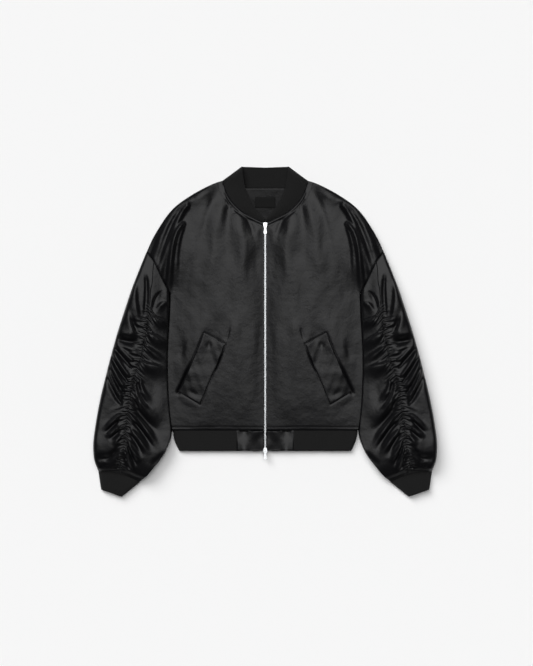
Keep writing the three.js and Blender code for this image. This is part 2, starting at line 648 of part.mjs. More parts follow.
/** The slider: a shield plate over the teeth, the block between the fronts and the bridge that holds the pull. z is 0 on the plate. */
function makeSlider() {
  const [half, narrow, end] = [SLIDER_WIDTH / 2, SLIDER_WIDTH / 2 - 1.1, SLIDER_LENGTH / 2];
  const plate = extruded(outline(
    [-half + 1.2, end], [-half, end - 1.4], [-half, end - 4], [-narrow, -end + 1], [-narrow + 1, -end],
    [narrow - 1, -end], [narrow, -end + 1], [half, end - 4], [half, end - 1.4], [half - 1.2, end],
  ), PLATE_THICK);
  plate.translate(0, 0, -PLATE_THICK);
  const block = new THREE.BoxGeometry(CHAIN_WIDTH - 0.6, SLIDER_LENGTH - 0.4, CHAIN_THICK);
  block.translate(0, 0, -PLATE_THICK - CHAIN_THICK / 2 + 0.4);
  const bridge = extruded(outline(
    [-3.4, -0.4], [-3.4, 2.6], [-2.7, 3.3], [2.7, 3.3], [3.4, 2.6], [3.4, -0.4],
    [2.4, -0.4], [2.4, 2.3], [-2.4, 2.3], [-2.4, -0.4],
  ), BRIDGE_WIDTH);
  bridge.applyMatrix4(new THREE.Matrix4().makeBasis(
    new THREE.Vector3(0, 1, 0), new THREE.Vector3(0, 0, 1), new THREE.Vector3(1, 0, 0),
  ));
  bridge.translate(-BRIDGE_WIDTH / 2, 0, 0);
  return joined(plate, block, bridge);
}

/** The pull: a flat tab with an eye that the bridge passes through. It turns about X at its own origin. */
function makePull() {
  const tab = outline(
    [-3.1, 0.7], [-3.1, -5.4], [-2.2, -7], [-2.6, -12], [-3.5, -15], [-3.5, -PULL_LENGTH + 2],
    [-2.2, -PULL_LENGTH], [2.2, -PULL_LENGTH], [3.5, -PULL_LENGTH + 2], [3.5, -15], [2.6, -12],
    [2.2, -7], [3.1, -5.4], [3.1, 0.7],
  );
  tab.holes.push(outline([-1.6, -0.6], [1.6, -0.6], [1.6, -5], [-1.6, -5]));
  const geometry = extruded(tab, PULL_THICK);
  geometry.translate(0, 0, -PULL_THICK / 2);
  return geometry;
}

// Inside the neck: what shows is the facing of the back, the tape over its seam and the bare label
const FACING_TOP_Z = SATIN + SEAM_GAP + FACING.thick;

function makeFacing() {
  const place = (u, v) => {
    const half = mix(FACING.halfLow, FACING.halfHigh, Math.sqrt(v));
    return new THREE.Vector3(mix(-half, half, u), mix(FACING.low, FACING.high, v), FACING_TOP_Z);
  };
  return wall({ place, outer: lines(evenly(0, 1, 6), evenly(0, 1, 4)), thick: FACING.thick });
}

function makeNeckTape() {
  const tape = new THREE.BoxGeometry(2 * NECK_TAPE.half, NECK_TAPE.width, NECK_TAPE.thick);
  tape.translate(0, NECK_TAPE.y, FACING_TOP_Z + SEAM_GAP - NECK_TAPE.thick / 2);
  return tape;
}

function makeLabel() {
  const label = new THREE.BoxGeometry(LABEL.width, LABEL.height, LABEL.thick);
  label.translate(0, LABEL.y, FACING_TOP_Z + SEAM_GAP + LABEL.thick / 2);
  return label;
}

// Materials and the assembled jacket
const material = (color, roughness, metalness = 0) => new THREE.MeshStandardMaterial({ color, roughness, metalness });
const satin = () => material(0x2e2f32, 0.32);
const ribKnit = () => material(0x202020, 0.9);
const zipMetal = () => material(0xb9bbbd, 0.3, 1);
const zipCloth = () => material(0x1c1c1d, 0.8);

const jacket = new THREE.Group();

function add(name, geometry, look, parent = jacket) {
  const mesh = new THREE.Mesh(geometry, look);
  mesh.name = name;
  parent.add(mesh);
  return mesh;
}

function addPair(name, geometry, look) {
  add(`${name}_left`, geometry, look());
  add(`${name}_right`, mirrored(geometry), look());
}

add('body_back', makeBack(), satin());
addPair('front', makeFront(), satin);
addPair('sleeve_outer', makeSleevePanel(true), satin);
addPair('sleeve_inner', makeSleevePanel(false), satin);
addPair('cuff', makeCuff(), ribKnit);
add('collar', makeCollar(), ribKnit());
add('hem_rib', makeHemRib(), ribKnit());
addPair('hem_placket', makePlacket(), satin);
addPair('pocket_welt', makePocket(), satin);
addPair('zip_tape', makeTape(), zipCloth);
add('zip_chain', makeChain(), zipMetal());
add('neck_facing', makeFacing(), satin());
add('neck_tape', makeNeckTape(), zipCloth());
add('neck_label', makeLabel(), material(0x161616, 0.6));

const sliders = [
  { name: 'top', y: TOP_SLIDER_Y, turn: 0 },
  { name: 'bottom', y: BOTTOM_SLIDER_Y, turn: Math.PI },
];
for (const { name, y, turn } of sliders) {
  const place = new THREE.Group();
  place.position.set(0, y, zipZ(y) + 0.7 + PLATE_THICK);
  jacket.add(place);
  add(`zip_slider_${name}`, makeSlider(), zipMetal(), place).rotation.z = turn;
  add(`zip_pull_${name}`, makePull(), zipMetal(), place).position.z = PIVOT_Z;
}

export default jacket;
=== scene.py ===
"""A ruched-sleeve satin bomber jacket, zipped up and laid flat on its back, seen from straight above.

Sizes are real millimetres until a mesh is made. +X is the wearer's left, +Y points to the collar and +Z up
from the table. Both halves are alike, so each piece is worked out for x above 0 and mirrored.
"""

import bpy
import numpy as np
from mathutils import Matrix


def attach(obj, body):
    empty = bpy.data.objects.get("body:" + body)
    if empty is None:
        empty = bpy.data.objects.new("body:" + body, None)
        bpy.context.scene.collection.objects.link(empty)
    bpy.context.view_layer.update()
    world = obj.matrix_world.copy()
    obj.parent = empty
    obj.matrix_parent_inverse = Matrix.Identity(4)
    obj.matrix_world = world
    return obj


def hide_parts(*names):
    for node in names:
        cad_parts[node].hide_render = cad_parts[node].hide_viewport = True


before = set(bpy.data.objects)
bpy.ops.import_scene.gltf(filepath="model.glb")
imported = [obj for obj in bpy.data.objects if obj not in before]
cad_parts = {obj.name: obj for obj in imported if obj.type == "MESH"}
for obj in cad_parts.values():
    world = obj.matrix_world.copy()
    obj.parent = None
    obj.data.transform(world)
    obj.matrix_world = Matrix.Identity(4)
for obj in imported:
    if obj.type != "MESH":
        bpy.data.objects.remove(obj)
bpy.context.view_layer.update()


# Camera, light and table
# A camera on a boom looks straight down at a jacket on a white table. A wide softbox hangs over the collar's
# end and gives the gloss, and a key softbox at the upper left gives the soft shadow at the lower right.
MILLIMETRE = 0.001
VIEW_HEIGHT = 1498.5
VIEW_CENTRE = (2.9, -3.4)
LENS = 85.0
SENSOR = 36.0

camera_data = bpy.data.cameras.new("camera")
camera_data.lens = LENS
camera_data.sensor_fit = "VERTICAL"
camera_data.sensor_height = SENSOR
camera_data.clip_end = 50.0
camera = bpy.data.objects.new("camera", camera_data)
camera.location = (
    VIEW_CENTRE[0] * MILLIMETRE,
    VIEW_CENTRE[1] * MILLIMETRE,
    VIEW_HEIGHT * MILLIMETRE * LENS / SENSOR,
)
bpy.context.collection.objects.link(camera)
bpy.context.scene.camera = camera
bpy.context.scene.view_settings.view_transform = "Standard"


def far_softbox(name, azimuth, elevation, spread, strength):
    """A round softbox so far off that it lights the whole table evenly: where it stands as angles in degrees
    from +X and up from the table, how wide it looks, and the light it sends."""
    data = bpy.data.lights.new(name, "SUN")
    data.angle = np.radians(spread)
    data.energy = strength
    light = bpy.data.objects.new(name, data)
    light.rotation_euler = (0.0, np.radians(90 - elevation), np.radians(azimuth))
    bpy.context.collection.objects.link(light)
    return light


far_softbox("overhead_softbox", 90, 73, 46, 1.62)
key_softbox = far_softbox("key_softbox", 128, 38, 34, 2.3)
# The key is polarised across the camera's filter: it lights the table and casts the shadow, but has no gloss.
key_softbox.visible_glossy = False


def linear(hex_colour):
    """The linear RGBA of an sRGB hex colour such as '#1f2022'."""
    values = np.array([int(hex_colour[i : i + 2], 16) for i in (1, 3, 5)]) / 255
    values = np.where(values <= 0.04045, values / 12.92, ((values + 0.055) / 1.055) ** 2.4)
    return (*[float(v) for v in values], 1.0)


def add_node(tree, kind, settings=None, links=None):
    """Adds a node: settings are its properties or its sockets' values, links join outputs to its sockets."""
    node = tree.nodes.new(kind)
    for key, value in (settings or {}).items():
        if isinstance(key, str) and hasattr(node, key) and key not in node.inputs:
            setattr(node, key, value)
        else:
            node.inputs[key].default_value = value
    for key, output in (links or {}).items():
        tree.links.new(output, node.inputs[key])
    return node


def new_material(name):
    """An empty node material with its tree."""
    material = bpy.data.materials.new(name)
    material.use_nodes = True
    material.node_tree.nodes.clear()
    return material, material.node_tree


def surface(tree, settings, links=None):
    """Ends a material with a surface of these settings and links, joined to its output."""
    shade = add_node(tree, "ShaderNodeBsdfPrincipled", settings, links)
    add_node(tree, "ShaderNodeOutputMaterial", links={"Surface": shade.outputs[0]})


def mesh_object(name, points, faces, material):
    """An object at the origin, whose mesh has these points in millimetres."""
    mesh = bpy.data.meshes.new(name)
    mesh.from_pydata((np.asarray(points) * MILLIMETRE).tolist(), [], faces)
    mesh.materials.append(material)
    piece = bpy.data.objects.new(name, mesh)
    bpy.context.collection.objects.link(piece)
    return piece


# The ceiling is dark. Pale walls stand low round the table, and show only in gloss seen from the side.
world = bpy.data.worlds.new("dim_room_with_pale_walls")
world.use_nodes = True
tree = world.node_tree
direction = add_node(tree, "ShaderNodeTexCoord")
upward = add_node(tree, "ShaderNodeSeparateXYZ", links={"Vector": direction.outputs["Generated"]})
glow = add_node(
    tree, "ShaderNodeMapRange",
    {"interpolation_type": "SMOOTHSTEP", "From Min": 0.02, "From Max": 0.3, "To Min": 0.85, "To Max": 0.04},
    {"Value": upward.outputs["Z"]},
)
tree.nodes["Background"].inputs["Color"].default_value = (1, 1, 1, 1)
tree.links.new(glow.outputs[0], tree.nodes["Background"].inputs["Strength"])
bpy.context.scene.world = world

white_card, tree = new_material("matt_white_card")
surface(tree, {"Base Color": linear("#f7f7f7"), "Roughness": 0.9})
TABLE_HALF = 4000.0
TABLE_TOP = -0.4
table_corners = [(x * TABLE_HALF, y * TABLE_HALF, TABLE_TOP) for x, y in ((-1, -1), (1, -1), (1, 1), (-1, 1))]
table = mesh_object("table", table_corners, [(0, 1, 2, 3)], white_card)


# Front panels
# Two fronts of heavy polyester satin over a thin lining, sewn to the back at side and shoulder. The cloth
# lies slack, so soft folds run down from the shoulder and neck, and its edge turns in beside the zip.
SATIN_THICK = 1.4
FACE_LIFT = 0.15
CROWN = 22.0
SIDE_SEAM_Z = 8.0
EDGE_ROUND = 16.0
TOP_ROUND = 1.5
TOP_SQUARENESS = 2.4
UNDER_ROUND = 12.0
HEM_SEAM_Y = -222.0
HEM_TOP_Z = 11.0
HEM_DRAW = 120.0
FRONT_EDGE_X = 3.2
PANEL_WIDTH = 206.0
PANEL_LENGTH = 500.0
NECK_SHARE = 0.4

# The body's top sinks towards the zip, neck, shoulder and side: how far that reaches, and how deep it is.
ZIP_SINK = (26.0, 6.0)
NECK_SINK = (34.0, 6.0)
SHOULDER_SINK = (40.0, 5.0)
SIDE_SINK = (45.0, 7.0)

# Grooves and ridges run along each seam: how far from the seam, half how wide, and how high.
HEM_RELIEF = [(6.4, 1.6, -0.8), (3.0, 1.8, 0.3), (0.0, 1.4, -1.5)]
NECK_RELIEF = [(4.0, 1.9, 0.9), (8.5, 2.0, -0.9), (0.0, 1.0, -0.8)]
SHOULDER_RELIEF = [(9.0, 1.5, -0.6)]
ARMHOLE_RELIEF = [(0.0, 1.4, -0.8)]
WELT_RELIEF = [(0.0, 1.6, -1.1)]

SIDE_FOLD = [(209.5, -222), (215, -181), (218.5, -123), (219.5, -80), (219, -37), (214.5, 48), (213, 85)]
ARMHOLE = [(213, 85), (228, 114), (238, 136), (249, 158), (266, 178)]
SHOULDER = [
    (95.5, 338.5), (113, 333), (149.5, 315), (179, 297), (202.5, 279),
    (219, 261), (231.5, 243), (253, 207), (266, 178),
]
NECK_FRONT = [(3.2, 244.5), (23, 254), (42, 263.5), (59.5, 276.5), (75, 293), (88, 316.5), (95.5, 338.5)]

# Each fold runs from a point past a middle point to an end point: from_x, from_y, mid_x, mid_y, to_x, to_y,
# then how wide its bell is on the left and on the right of that route, and how high it is, or deep if
# negative.
FOLD_WIDENS = (0.55, 1.3)
FOLD_START = 3.6
FOLD_END = 0.4
SHOULDER_FOLDS = [
    (158, 296, 222, 234, 268, 60, 12, 9, 6.4),
    (166, 284, 207, 222, 262, 30, 8, 9, 6.4),
    (176, 242, 206, 190, 219, 30, 7, 8, 7.6),
    (180, 236, 196, 180, 197, 90, 4, 5, 2.6),
    (100, 324, 146, 306, 196, 262, 9, 17, 4.6),
]
CHEST_FOLDS = [
    (84, 292, 112, 236, 130, 60, 30, 14, 3.4),
    (60, 272, 52, 226, 40, 70, 16, 12, 2.6),
    (104, 312, 134, 236, 158, 70, 12, 22, -3.0),
    (77, 282, 84, 242, 86, 90, 10, 14, -1.9),
    (45, 256, 32, 236, 20, 190, 6, 6, -1.6),
    (150, 230, 176, 120, 180, -20, 26, 16, -1.8),
    (120, 100, 116, -20, 130, -190, 30, 16, -1.8),
    (60, 90, 64, -60, 40, -215, 30, 14, 1.8),
    (79, 14, 83, -6, 91, -27, 5, 3, -1.2),
    (178, -14, 186, -42, 194, -74, 12, 7, -1.8),
    (206, -136, 184, -164, 150, -180, 14, 8, -1.8),
    (200, -184, 150, -206, 90, -212, 9, 9, 1.2),
]
UPPER_SLEEVE_FOLDS = [
    (286, 120, 290, 66, 276, 2, 14, 6, 4.0),
    (268, 134, 266, 76, 272, 10, 4, 7, -2.8),
    (306, 60, 300, 12, 282, -14, 12, 5, 4.2),
    (298, 40, 292, 12, 280, -8, 3, 7, -3.0),
    (336, 4, 310, -5, 280, -12, 8, 14, 4.8),
    (336, -16, 306, -23, 274, -28, 5, 8, -3.8),
    (334, -27, 306, -37, 280, -46, 5, 8, 3.6),
    (226, 92, 244, 74, 250, 38, 4, 9, -3.8),
    (214, 60, 230, 62, 246, 36, 4, 8, 3.2),
    (258, 36, 236, 26, 208, 14, 14, 5, 5.2),
    (266, -4, 246, -12, 208, -40, 16, 5, 6.4),
    (272, -34, 252, -44, 210, -84, 12, 6, 4.2),
    (284, -68, 262, -74, 206, -92, 18, 7, 6.4),
]
LOWER_SLEEVE_FOLDS = [
    (291, -66, 311, -51, 345, -11, 5, 5, 3.0),
    (295, -82, 315, -62, 355, -13, 4, 4, -3.6),
    (299, -104, 324, -71, 356, -18, 5, 5, 4.0),
    (303, -116, 330, -80, 358, -23, 4, 4, -3.4),
    (306, -132, 335, -90, 360, -27, 5, 6, 4.4),
    (311, -142, 339, -99, 360, -29, 4, 4, -3.0),
    (315, -151, 341, -108, 362, -32, 6, 5, 4.4),
    (316, -163, 340, -130, 367, -46, 6, 6, -4.0),
    (316, -180, 338, -198, 362, -225, 5, 6, 4.6),
    (322, -193, 340, -210, 358, -230, 4, 4, -4.6),
    (320, -206, 338, -222, 357, -238, 5, 5, 3.8),
    (320, -218, 334, -230, 351, -243, 4, 4, -3.0),
    (318, -229, 328, -240, 340, -255, 5, 5, 3.2),
    (323, -248, 350, -282, 382, -272, 8, 8, -5.6),
    (314, -262, 328, -280, 344, -304, 6, 6, 3.2),
    (320, -284, 326, -296, 334, -310, 5, 5, -2.4),
    (366, -288, 360, -298, 356, -312, 6, 6, -2.4),
    (277, -100, 273, -130, 250, -160, 5, 5, 3.0),
    (284, -110, 277, -144, 248, -178, 4, 4, -2.8),
    (289, -112, 281, -154, 236, -213, 11, 13, 6.4),
    (292, -128, 276, -186, 228, -232, 9, 9, -4.6),
    (300, -181, 270, -211, 234, -274, 7, 7, 5.0),
    (298, -198, 272, -228, 244, -270, 5, 5, -3.4),
    (304, -212, 281, -241, 254, -282, 6, 6, 4.2),
    (305, -226, 287, -250, 271, -284, 5, 5, -3.2),
    (307, -239, 294, -268, 275, -293, 5, 5, 4.0),
    (308, -246, 298, -277, 282, -305, 4, 4, -2.8),
    (310, -253, 302, -285, 290, -316, 4, 4, 3.2),
    (313, -268, 309, -292, 300, -320, 4, 4, -2.4),
    (222, -262, 236, -284, 258, -304, 7, 7, -2.6),
]


def through(points, places):
    """The smooth curve that passes the points, at places counted in points: a cubic between each two, whose
    slopes weigh the two neighbouring steps by the square root of their lengths."""
    p = np.asarray(points, float)
    padded = np.vstack([2 * p[0] - p[1], p, 2 * p[-1] - p[-2]])
    gaps = np.linalg.norm(np.diff(padded, axis=0), axis=1)[:, None] ** 0.5
    slopes = np.diff(padded, axis=0) / gaps
    tangents = (slopes[:-1] * gaps[1:] + slopes[1:] * gaps[:-1]) / (gaps[:-1] + gaps[1:])
    i = np.clip(np.asarray(places).astype(int), 0, len(p) - 2)
    w = (places - i)[..., None]
    gap = gaps[1:-1][i]
    start = (2 * w**3 - 3 * w**2 + 1) * p[i] + (w**3 - 2 * w**2 + w) * gap * tangents[i]
    return start + (3 * w**2 - 2 * w**3) * p[i + 1] + (w**3 - w**2) * gap * tangents[i + 1]


def line_through(points):
    """Many short steps along the smooth curve that passes the points."""
    return through(points, np.linspace(0, len(points) - 1, len(points) * 8 + 1))


def along(line, share):
    """The points at shares of a line's length."""
    length = np.concatenate([[0], np.cumsum(np.linalg.norm(np.diff(line, axis=0), axis=1))])
    at = np.clip(share, 0, 1) * length[-1]
    return np.stack([np.interp(at, length, line[:, k]) for k in range(line.shape[1])], axis=-1)


def nearest(line, x, y):
    """The distance from each place to a line, negative on the right of its direction, and how far along the
    line its nearest point is, from 0 to 1."""
    best = np.full(np.shape(x), np.inf)
    where = np.zeros(np.shape(x))
    for i in range(len(line) - 1):
        step = line[i + 1] - line[i]
        off_x, off_y = x - line[i, 0], y - line[i, 1]
        t = np.clip((off_x * step[0] + off_y * step[1]) / (step @ step), 0, 1)
        gap = np.hypot(off_x - t * step[0], off_y - t * step[1])
        gap = np.where(step[0] * off_y < step[1] * off_x, -gap, gap)
        closer = np.abs(gap) < np.abs(best)
        where = np.where(closer, (i + t) / (len(line) - 1), where)
        best = np.where(closer, gap, best)
    return best, where


def rise(share, power=2):
    """A quarter round from 0 at the edge to 1 at one radius inwards, and squarer with a higher power."""
    return (1 - (1 - np.clip(share, 0, 1)) ** power) ** (1 / power)


def smooth(t):
    """Eases from 0 to 1 with level ends."""
    t = np.clip(t, 0, 1)
    return t * t * (3 - 2 * t)


def mix(a, b, t):
    """The value at a share t of the way from a to b."""
    return a + (b - a) * t


def bell(share):
    """1 in the middle, falling off on both sides as a normal curve does."""
    return np.exp(-(share**2))


def bend(row):
    """A fold's route: the even curve from its first point to its last that passes its middle point."""
    (x0, y0, xm, ym, x1, y1) = row[:6]
    t = np.linspace(0, 1, 11)[:, None]
    first, middle, last = np.array([x0, y0]), np.array([xm, ym]), np.array([x1, y1])
    pull = 2 * middle - (first + last) / 2
    return (1 - t) ** 2 * first + 2 * t * (1 - t) * pull + t**2 * last


def folds_at(x, y, folds):
    """How far the folds lift the cloth: each is a bell across its route, with its own width on either side,
    that widens along the route and fades at both ends, over a longer way where it is wide. Long shallow waves
    make the slack between them uneven."""
    lift = 0.8 * np.sin(x / 21 + 1.6 * np.sin(y / 53)) * np.sin(y / 37 + x / 61)
    lift = lift + 0.45 * np.sin((x + y * 0.24) / 10 + 1.3 * np.sin(y / 29))
    lift = lift + 0.2 * np.sin((x - 0.2 * y) / 5.7 + 1.9 * np.sin(x / 23 + y / 31)) * np.sin(y / 25 - x / 43)
    for row in folds:
        route = bend(row)
        length = np.linalg.norm(np.diff(route, axis=0), axis=1).sum()
        gap, where = nearest(route, x, y)
        width = np.where(gap > 0, row[6], row[7]) * mix(*FOLD_WIDENS, where)
        start = min(FOLD_START * max(row[6], row[7]) / length, 0.5)
        fade = smooth(where / start) * smooth((1 - where) / FOLD_END)
        lift = lift + row[8] * bell(gap / width) * fade
    return lift


side_fold = line_through(SIDE_FOLD)
armhole = line_through(ARMHOLE)
shoulder = line_through(SHOULDER)
neck_front = line_through(NECK_FRONT)


def edge_share(turn, size):
    """Shares of a panel: even over its flat part, turn 0 to 1, and even in angle round its edge, 1 to 2."""
    part = EDGE_ROUND / size
    return np.where(turn < 1, turn * (1 - part), 1 - part * (1 - np.sin((turn - 1) * np.pi / 2)))


def half_panel(u, v, neck, centre_x):
    """Where a half panel lies on the table: a patch blended between its hem, centre, side and top lines."""
    a = edge_share(u, PANEL_WIDTH)
    b = edge_share(v, PANEL_LENGTH)
    side = np.vstack([side_fold, armhole[1:]])
    corners = np.array([(centre_x, HEM_SEAM_Y), side_fold[0], neck[0], shoulder[-1]])
    hem_point = along(corners[:2], a)
    on_neck = along(neck, a / NECK_SHARE)
    on_shoulder = along(shoulder, (a - NECK_SHARE) / (1 - NECK_SHARE))
    top_point = np.where((a < NECK_SHARE)[..., None], on_neck, on_shoulder)
    centre_point = along(corners[[0, 2]], b)
    side_point = along(side, b)
    a, b = a[..., None], b[..., None]
    place = (1 - b) * hem_point + b * top_point + (1 - a) * centre_point + a * side_point
    place = place - (1 - a) * (1 - b) * corners[0] - a * (1 - b) * corners[1]
    return place - (1 - a) * b * corners[2] - a * b * corners[3]


def body_share(x, y, radius, power=2):
    """How much of its full height the body has: 0 on the side and shoulder edges, rounded up from them."""
    side_gap = np.abs(nearest(side_fold, x, y)[0])
    shoulder_gap = np.abs(nearest(shoulder, x, y)[0])
    return rise(side_gap / radius, power) * rise(shoulder_gap / radius, power)


def relief(gap, rows):
    """The grooves and ridges beside a seam, at a distance from it."""
    return sum(height * bell((gap - away) / width) for away, width, height in rows)


def body_top(x, y):
    """The upper face of the body: a low crown with the folds on it, lower along the zip, the neck, the
    shoulders and the sides, drawn down to the hem seam, nearly upright at the side edges, with a relief along
    each seam."""
    neck_gap = np.abs(nearest(neck_front, x, y)[0])
    shoulder_gap = np.abs(nearest(shoulder, x, y)[0])
    above_hem = y - HEM_SEAM_Y
    sink = np.maximum(ZIP_SINK[1] * bell(x / ZIP_SINK[0]), NECK_SINK[1] * bell(neck_gap / NECK_SINK[0]))
    sink = sink + SHOULDER_SINK[1] * bell(shoulder_gap / SHOULDER_SINK[0])
    sink = sink + SIDE_SINK[1] * bell(nearest(side_fold, x, y)[0] / SIDE_SINK[0])
    off_seams = smooth(neck_gap / 16) * smooth((np.abs(x) - 4) / 22) * smooth(above_hem / 24)
    crown = CROWN - sink + folds_at(x, y, SHOULDER_FOLDS + CHEST_FOLDS) * off_seams
    height = mix(crown, HEM_TOP_Z + 2, np.exp(-above_hem / HEM_DRAW))
    height = height + relief(above_hem, HEM_RELIEF) + relief(neck_gap, NECK_RELIEF)
    height = height + relief(shoulder_gap, SHOULDER_RELIEF)
    height = height + relief(nearest(armhole, x, y)[0], ARMHOLE_RELIEF)
    return mix(SIDE_SEAM_Z, height, body_share(x, y, TOP_ROUND, TOP_SQUARENESS))


def tinted(tree, low, high, share):
    """A colour between a low and a high tone, by a share that varies over the surface."""
    tones = {"Color1": linear(low), "Color2": linear(high)}
    return add_node(tree, "ShaderNodeMixRGB", tones, {"Fac": share}).outputs[0]


def bumped(tree, strength, distance, height, over=None):
    """Normals bumped by a height that varies over the surface, on top of the bumps that it lies over."""
    links = {"Height": height} if over is None else {"Height": height, "Normal": over}
    return add_node(tree, "ShaderNodeBump", {"Strength": strength, "Distance": distance}, links).outputs[0]


satin, tree = new_material("polyester_satin_weave")
# Heavy satin: long floats of fine yarn lie side by side, so it has a dark body with a soft broad gloss that
# is a little uneven where the cloth was pressed and handled. Threads are 0.15 mm apart, drawn at 0.9 mm to
# show.
THREAD_SPACING = 0.0009
place = add_node(tree, "ShaderNodeTexCoord").outputs["Object"]
slub_map = add_node(tree, "ShaderNodeMapping", {"Scale": (1.0, 0.12, 1.0)}, {"Vector": place})
slub = add_node(
    tree, "ShaderNodeTexNoise", {"Scale": 1 / THREAD_SPACING, "Detail": 2.0}, {"Vector": slub_map.outputs[0]}
)
handled = add_node(
    tree, "ShaderNodeTexNoise", {"Scale": 16.0, "Detail": 4.0, "Roughness": 0.6}, {"Vector": place}
).outputs["Fac"]
gloss = add_node(tree, "ShaderNodeMapRange", {"To Min": 0.31, "To Max": 0.39}, {"Value": handled})
tone = tinted(tree, "#060607", "#0b0b0d", handled)
grain = bumped(tree, 0.10, 0.0003, slub.outputs["Fac"])
ripple = bumped(tree, 0.45, 0.004, handled, grain)
surface(
    tree, {"Specular IOR Level": 0.25}, {"Base Color": tone, "Roughness": gloss.outputs[0], "Normal": ripple}
)

SHARP_ANGLE = 50.0


def wall(name, outer, thick, material, closed=False, rib_map=None):
    """A closed cloth wall from a grid of outer points in millimetres: the grid, the same grid moved in along
    its normals by the thickness, and strips that close its rims. Columns crossed with rows point outwards.
    closed joins the last column to the first, and rib_map gives each point its place in the knit."""
    columns, rows = outer.shape[:2]
    if closed:
        across = np.roll(outer, -1, axis=0) - np.roll(outer, 1, axis=0)
    else:
        across = np.gradient(outer, axis=0)
    normal = np.cross(across, np.gradient(outer, axis=1))
    normal /= np.linalg.norm(normal, axis=2, keepdims=True).clip(1e-9)
    inner = outer - normal * thick
    points = np.concatenate([outer.reshape(-1, 3), inner.reshape(-1, 3)])
    front = np.arange(columns * rows).reshape(columns, rows)
    if closed:
        front = np.vstack([front, front[:1]])
    back = front + columns * rows

    def quads(a, b, c, d):
        return np.stack([a, b, c, d], axis=-1).reshape(-1, 4)

    faces = [
        quads(front[:-1, :-1], front[1:, :-1], front[1:, 1:], front[:-1, 1:]),
        quads(back[:-1, :-1], back[:-1, 1:], back[1:, 1:], back[1:, :-1]),
        quads(front[:-1, 0], back[:-1, 0], back[1:, 0], front[1:, 0]),
        quads(back[:-1, -1], front[:-1, -1], front[1:, -1], back[1:, -1]),
    ]
    if not closed:
        faces.append(quads(back[0, :-1], front[0, :-1], front[0, 1:], back[0, 1:]))
        faces.append(quads(front[-1, :-1], back[-1, :-1], back[-1, 1:], front[-1, 1:]))
    faces = np.concatenate(faces)
    piece = mesh_object(name, points, faces.tolist(), material)
    mesh = piece.data
    mesh.polygons.foreach_set("use_smooth", np.ones(len(faces), bool))
    mesh.set_sharp_from_angle(angle=np.radians(SHARP_ANGLE))
    if rib_map is not None:
        both = np.concatenate([rib_map.reshape(-1, 2)] * 2)
        mesh.uv_layers.new(name="knit").data.foreach_set("uv", both[faces.ravel()].ravel())
    return piece


MIRROR = np.array([-1.0, 1.0, 1.0])


def other_half(outer):
    """The same grid for the wearer's right, mirrored and turned round so that it still points outwards."""
    return outer[::-1] * MIRROR


def with_height(flat, height):
    """A grid of points from places on the table and their heights."""
    return np.concatenate([flat, height[..., None]], axis=-1)


def on_jacket(piece, node):
    """Fixes a piece to the jacket and in place of its CAD node."""
    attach(piece, "jacket")
    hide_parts(node)


neck_turn = NECK_SHARE / (1 - EDGE_ROUND / PANEL_WIDTH)
HEM_PART = 0.08
front_columns = np.concatenate([
    np.linspace(0, neck_turn, 45)[:-1], np.linspace(neck_turn, 1, 55)[:-1], np.linspace(1, 2, 9),
])
front_rows = np.concatenate([
    np.linspace(0, HEM_PART, 14)[:-1], np.linspace(HEM_PART, 1, 190)[:-1], np.linspace(1, 2, 9),
])
front_flat = half_panel(*np.meshgrid(front_columns, front_rows, indexing="ij"), neck_front, FRONT_EDGE_X)
# The front is drawn down by the stitches round the pocket welt, and sags away from it beside the lower part
# of its outer edge and the middle of its inner one.
POCKET_CORNERS = np.array([(89, -28), (136.5, -3), (146, -164), (194, -135)], float)
POCKET_SAG = [(160, -58, 178, -100, 199, -146, 5, 4, -3.6), (94, -36, 105, -62, 120, -90, 3, 4.5, -2.4)]
front_x, front_y = front_flat[..., 0], front_flat[..., 1]
front_height = body_top(front_x, front_y)
welt_gap = nearest(POCKET_CORNERS[[0, 1, 3, 2, 0]], front_x, front_y)[0]
front_height = front_height + relief(welt_gap, WELT_RELIEF)
for row in POCKET_SAG:
    gap, where = nearest(bend(row), front_x, front_y)
    sag = row[8] * bell(gap / np.where(gap > 0, row[6], row[7]))
    front_height = front_height + sag * smooth(where / 0.5) * smooth((1 - where) / 0.15)
front_outer = with_height(front_flat, front_height + FACE_LIFT)
for side, outer in (("left", front_outer), ("right", other_half(front_outer))):
    panel = wall(f"satin_front_{side}", outer, SATIN_THICK, satin)
    on_jacket(panel, f"front_{side}")


# Back panel
# One piece of the same satin from hem to neck. It carries the whole jacket on the table, so it is flat
# underneath and only curls up at its side and shoulder edges to meet the fronts.
NECK_BACK = [(0, 326), (40, 327), (75, 331.5), (95.5, 338.5)]
neck_back = line_through(NECK_BACK)


def body_under(x, y):
    """The lower face of the body: flat on the table and rounded up to the side seam at its edges."""
    return np.maximum(0, SIDE_SEAM_Z * (1 - body_share(x, y, UNDER_ROUND)) - FACE_LIFT)


back_columns = np.concatenate([
    np.linspace(0, neck_turn, 24)[:-1], np.linspace(neck_turn, 1, 30)[:-1], np.linspace(1, 2, 8),
])
back_rows = np.concatenate([np.linspace(0, 1, 70)[:-1], np.linspace(1, 2, 8)])
back_flat = half_panel(*np.meshgrid(back_columns, back_rows, indexing="ij"), neck_back, 0.0)
back_half = with_height(back_flat, body_under(back_flat[..., 0], back_flat[..., 1]))
back_outer = np.concatenate([back_half[::-1], back_half[1:] * MIRROR])
back_panel = wall("satin_back", back_outer, SATIN_THICK, satin)
on_jacket(back_panel, "body_back")


